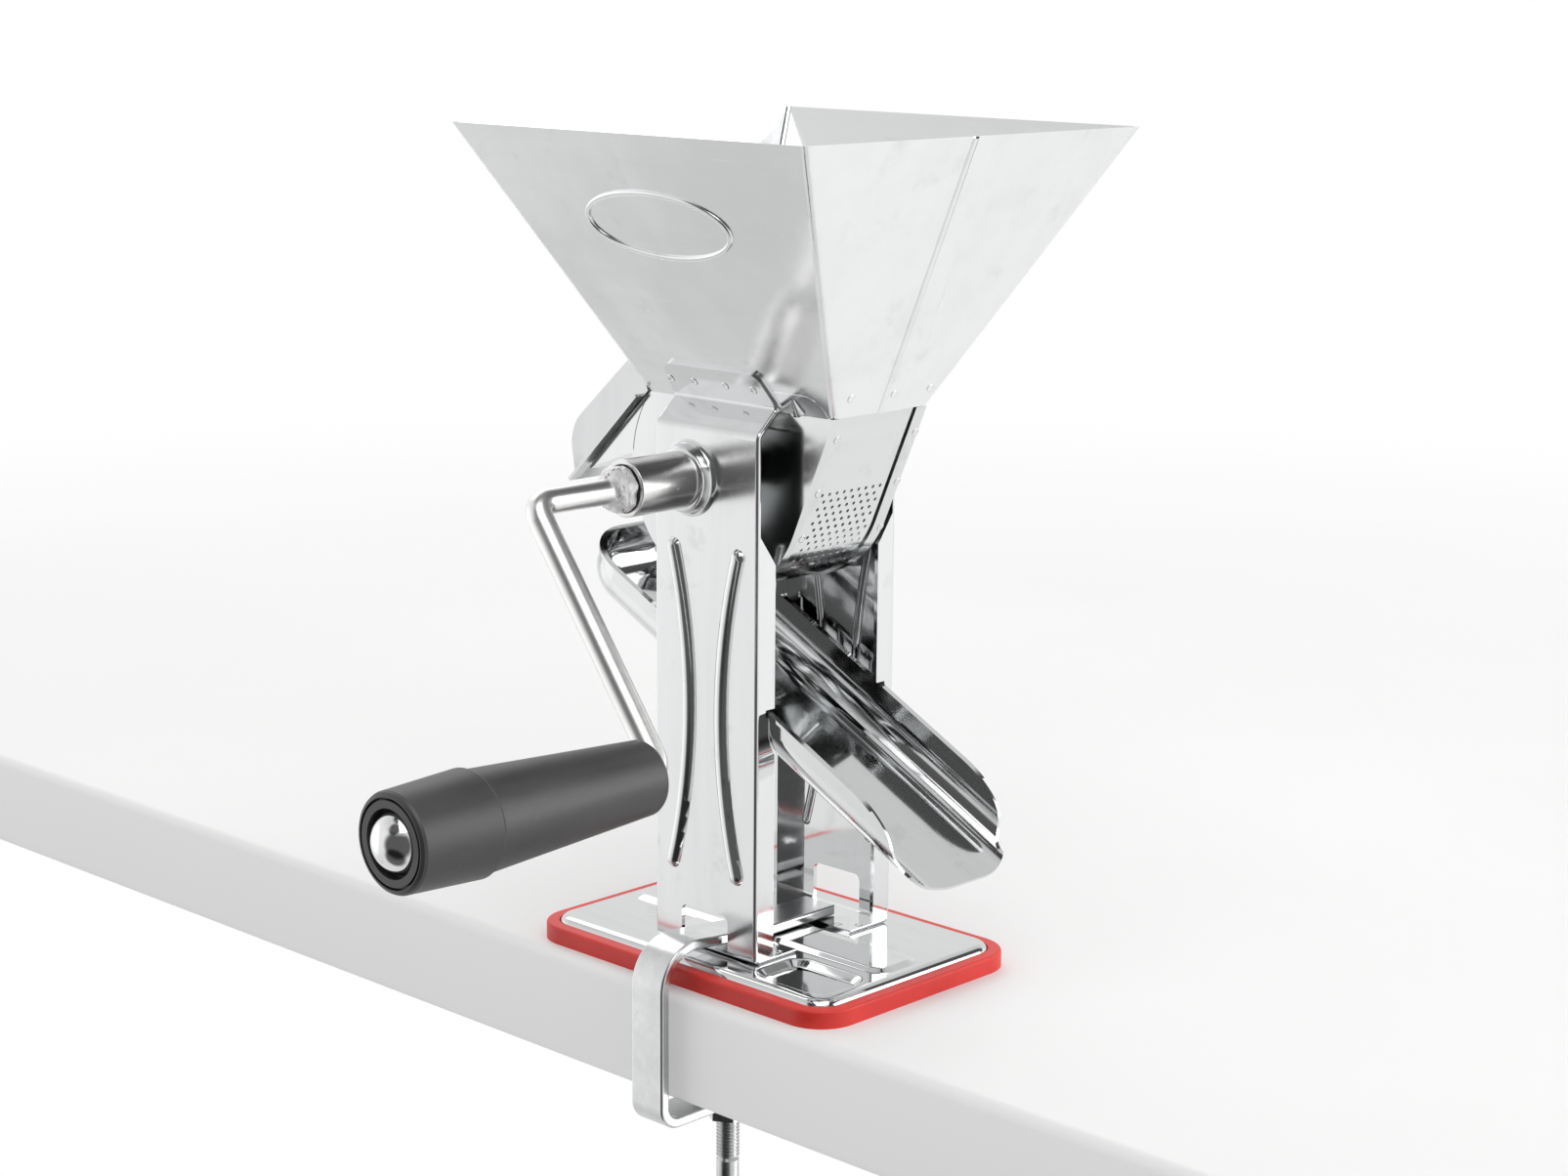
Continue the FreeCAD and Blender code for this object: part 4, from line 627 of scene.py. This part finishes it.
def spot_welds():
    """Spots along the legs' tabs and feet, the foot of the hopper's front wall and the drum's edge strips."""
    legs = (("crank_side_leg", -1), ("far_leg", 1))
    tab_y, tab_z = (20.5, 9.5, -5.0, -17.8), 201.2
    feet = ((15.9, -17.0), (20.0, -22.6))
    crank_half_x, crank_half_z = -18.2, 201.0
    far_half_x, far_half_z = (1.6, 20.2), 200.6
    screen_x, screen_z = -16.4, (186.5, 168.0, 152.0)
    strip_x, strip_z = 21.5, (185.0, 167.4, 151.0)
    beside, ahead, above = 90, -120, 40    # where a line to each sheet starts
    back, down = (0, 1, 0), (0, 0, -1)
    sunk = 0.24
    places = []
    for leg, side in legs:
        places += [(leg, "leg_steel", (side * beside, y, tab_z), (-side, 0, 0)) for y in tab_y]
    for x, y in feet:
        places += [(leg, "leg_steel", (side * x, y, above), down) for leg, side in legs]
    places += [("hopper_crank_half", "hopper_steel", (crank_half_x, ahead, crank_half_z), back)]
    places += [("hopper_far_half", "hopper_steel", (x, ahead, far_half_z), back) for x in far_half_x]
    places += [("screen", "screen_steel", (screen_x, ahead, z), back) for z in screen_z]
    places += [("far_cheek", "drum_steel", (strip_x, ahead, z), back) for z in strip_z]
    mark = spot_mark()
    for number, (node, slot, start, way) in enumerate(places, 1):
        at, out = touch(node, start, way)
        spot = copied(mark, f"spot_weld_{number}", at - out * (sunk * MM), out)
        fitted(spot, "frame", NODE_FINISH[node])
    bpy.data.objects.remove(mark)


def leaf_spring(number, way):
    """The bowed spring under a blade; the real one flattens when its blade is pushed in, but this copy keeps its
    bowed shape.
    """
    node = f"vane_spring_{number}"
    spring = linked(f"leaf_spring_{number}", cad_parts[node].data.copy())
    choose_all(spring)
    bpy.ops.mesh.remove_doubles(threshold=0.001 * MM)
    smooth(settle(spring), 30)
    fitted(spring, "crank", spring_steel)
    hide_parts(node)
    way = Vector(way).normalized()
    shaft = Vector((0, SHAFT_Y, SHAFT_Z)) * MM
    heights = [(v.co - shaft).dot(way) for v in spring.data.vertices]
    low = min(heights)
    tall = max(heights) - low
    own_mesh(spring)


weld_bead()
tube_collar()
cheek_lap()
lanced_lug()
seam_edge("front_seam_edge", THROAT_FRONT, FRONT_LEAN, -1)
seam_edge("rear_seam_edge", THROAT_REAR, REAR_LEAN, 1)
spot_welds()
for number, side in zip(BLADES, ((-1, 1), (-1, -1), (1, -1), (1, 1))):
    leaf_spring(number, (0, *side))


# Camera


def photo_camera():
    data = bpy.data.cameras.new("photo_camera")
    camera = linked("photo_camera", data)
    aim = Euler((math.radians(90 - EYE_DROP), 0, math.radians(-EYE_TURN))).to_matrix()
    level = Matrix.Rotation(math.radians(EYE_ROLL), 3, "Z")
    camera.matrix_world = Matrix.Translation(Vector(EYE) * MM) @ (aim @ level).to_4x4()
    data.sensor_width = SENSOR_WIDE
    data.lens = FOCUS_PIXELS * SENSOR_WIDE / PHOTO_WIDE
    data.shift_x = (PHOTO_WIDE / 2 - MIDDLE_ACROSS) / PHOTO_WIDE
    data.shift_y = (MIDDLE_DOWN - PHOTO_TALL / 2) / PHOTO_WIDE
    data.clip_start = 10 * MM
    bpy.context.scene.camera = camera


# Stage: a pale floor, soft lamps and a pale room


def pale_floor():
    """A plain floor that fades to white away from the mill, with painted light that lifts its front face a little.
    """
    material, f = finish("pale_floor")
    where = f.place()
    cloud = f.cloud(where, scale=5.0, detail=3.0, rough=0.5)
    colour = f.mixed(cloud, (0.80, 0.80, 0.795, 1), (0.84, 0.84, 0.838, 1))
    surface = f.node("BsdfPrincipled", None, {"Base Color": colour, "Roughness": 0.5})
    far = f.band(f.node("VectorMath", {"operation": "LENGTH"}, {"Vector": where}, "Value"), 0.35, 1.3)
    # Painted light: faces turned to -X, the slab's front, are mixed partly to white for the camera.
    front = f.band(f.along_x(f.node("NewGeometry", out="Normal")), -0.3, -0.95) * 0.32
    seen = f.node("LightPath", out="Is Camera Ray")
    share = (far + (1.0 - far) * front) * seen
    white = f.node("Emission", None, {"Color": (1, 1, 1, 1), "Strength": 1.0})
    f.end(f.node("MixShader", None, {"Fac": share, "Shader": surface, "Shader_001": white}))
    low, high = Vector(FLOOR_LOW) * MM, Vector(FLOOR_HIGH) * MM
    alone()
    bpy.ops.mesh.primitive_cube_add(size=1.0, location=(low + high) / 2, scale=high - low)
    floor = settle(fresh("pale_floor"))
    modified(floor, "BEVEL", width=FLOOR_EDGE * MM, segments=4)
    smooth(floor, 40)
    dress(floor, material)


def lamp(name, at, aim, wide, deep, power):
    data = bpy.data.lights.new(name, "AREA")
    data.shape = "RECTANGLE"
    data.size = wide
    data.size_y = deep
    data.energy = power
    thing = linked(name, data)
    thing.location = at
    thing.rotation_euler = (Vector(aim) - Vector(at)).to_track_quat("-Z", "Y").to_euler()


def room():
    """White for the camera. What the metal sees is a pale room with dark patches and bright windows."""
    world = bpy.data.worlds.new("room")
    bpy.context.scene.world = world
    world.use_nodes = True
    f = Finish(world.node_tree)
    way = f.node("TexCoord", out="Generated")
    seen = f.node("LightPath", out="Is Camera Ray")
    mirrored = f.node("LightPath", out="Is Glossy Ray")
    up = f.node("SeparateXYZ", None, {"Vector": way}, "Z")

    def patch(aim, edge, core):
        """1 in the middle of a round patch of the room, and 0 outside its edge."""
        aim = Vector(aim).normalized()
        near = f.node("VectorMath", {"operation": "DOT_PRODUCT"}, {"Vector": way, "Vector_001": aim}, "Value")
        return f.band(near, edge, core)

    beam = 1.0 - patch((0.70, -0.36, 0.62), 0.925, 0.97) * 0.9
    top = 1.0 - patch((-0.03, 0.08, 0.99), 0.86, 0.94) * 0.92
    front = 1.0 - patch((0.12, -0.71, 0.69), 0.88, 0.95) * 0.9
    shelf = 1.0 - patch((-0.70, 0.02, 0.70), 0.93, 0.97) * 0.85
    overhead = 1.0 - (1.0 - beam * top * front * shelf) * mirrored
    below = 1.0 - patch((-0.72, -0.10, -0.69), 0.82, 0.93) * mirrored * 0.85
    wall = 1.0 - patch((-0.906, -0.42, -0.05), 0.58, 0.82) * f.band(up, 0.75, 0.40) * 0.88
    post = 1.0 - patch((-0.225, 0.698, -0.68), 0.9972, 0.9998) * 0.25
    window = patch((0.72, -0.69, 0.05), 0.55, 0.95) * 0.30
    pane = patch((0.70, -0.70, -0.12), 0.955, 0.985) * 4.0
    back_window = patch((-0.36, 0.93, -0.1), 0.86, 0.97) * 0.35
    ground = f.band(up, -0.8, -0.1, 0.84, 1.0)
    ceiling = f.band(up, 0.3, 0.9, 1.0, 0.75)
    pale = 0.90 * ground * ceiling + window + pane + back_window
    inside = pale * wall * overhead * below * post
    strength = seen + (1.0 - seen) * inside
    f.end(f.node("Background", None, {"Color": (1, 1, 1, 1), "Strength": strength}), "OutputWorld")


def lamps():
    """Three wide soft lamps, in metres and watts."""
    lamp("key", at=(-0.55, -0.75, 1.85), aim=(0, 0, 0.15), wide=1.7, deep=1.7, power=16.0)
    lamp("fill", at=(1.0, -1.5, 0.9), aim=(0, 0, 0.15), wide=1.4, deep=1.0, power=8.0)
    lamp("back", at=(0.6, 1.2, 1.4), aim=(0, 0, 0.2), wide=1.6, deep=1.2, power=6.0)


photo_camera()
pale_floor()
room()
lamps()
bpy.context.scene.view_settings.view_transform = "Standard"
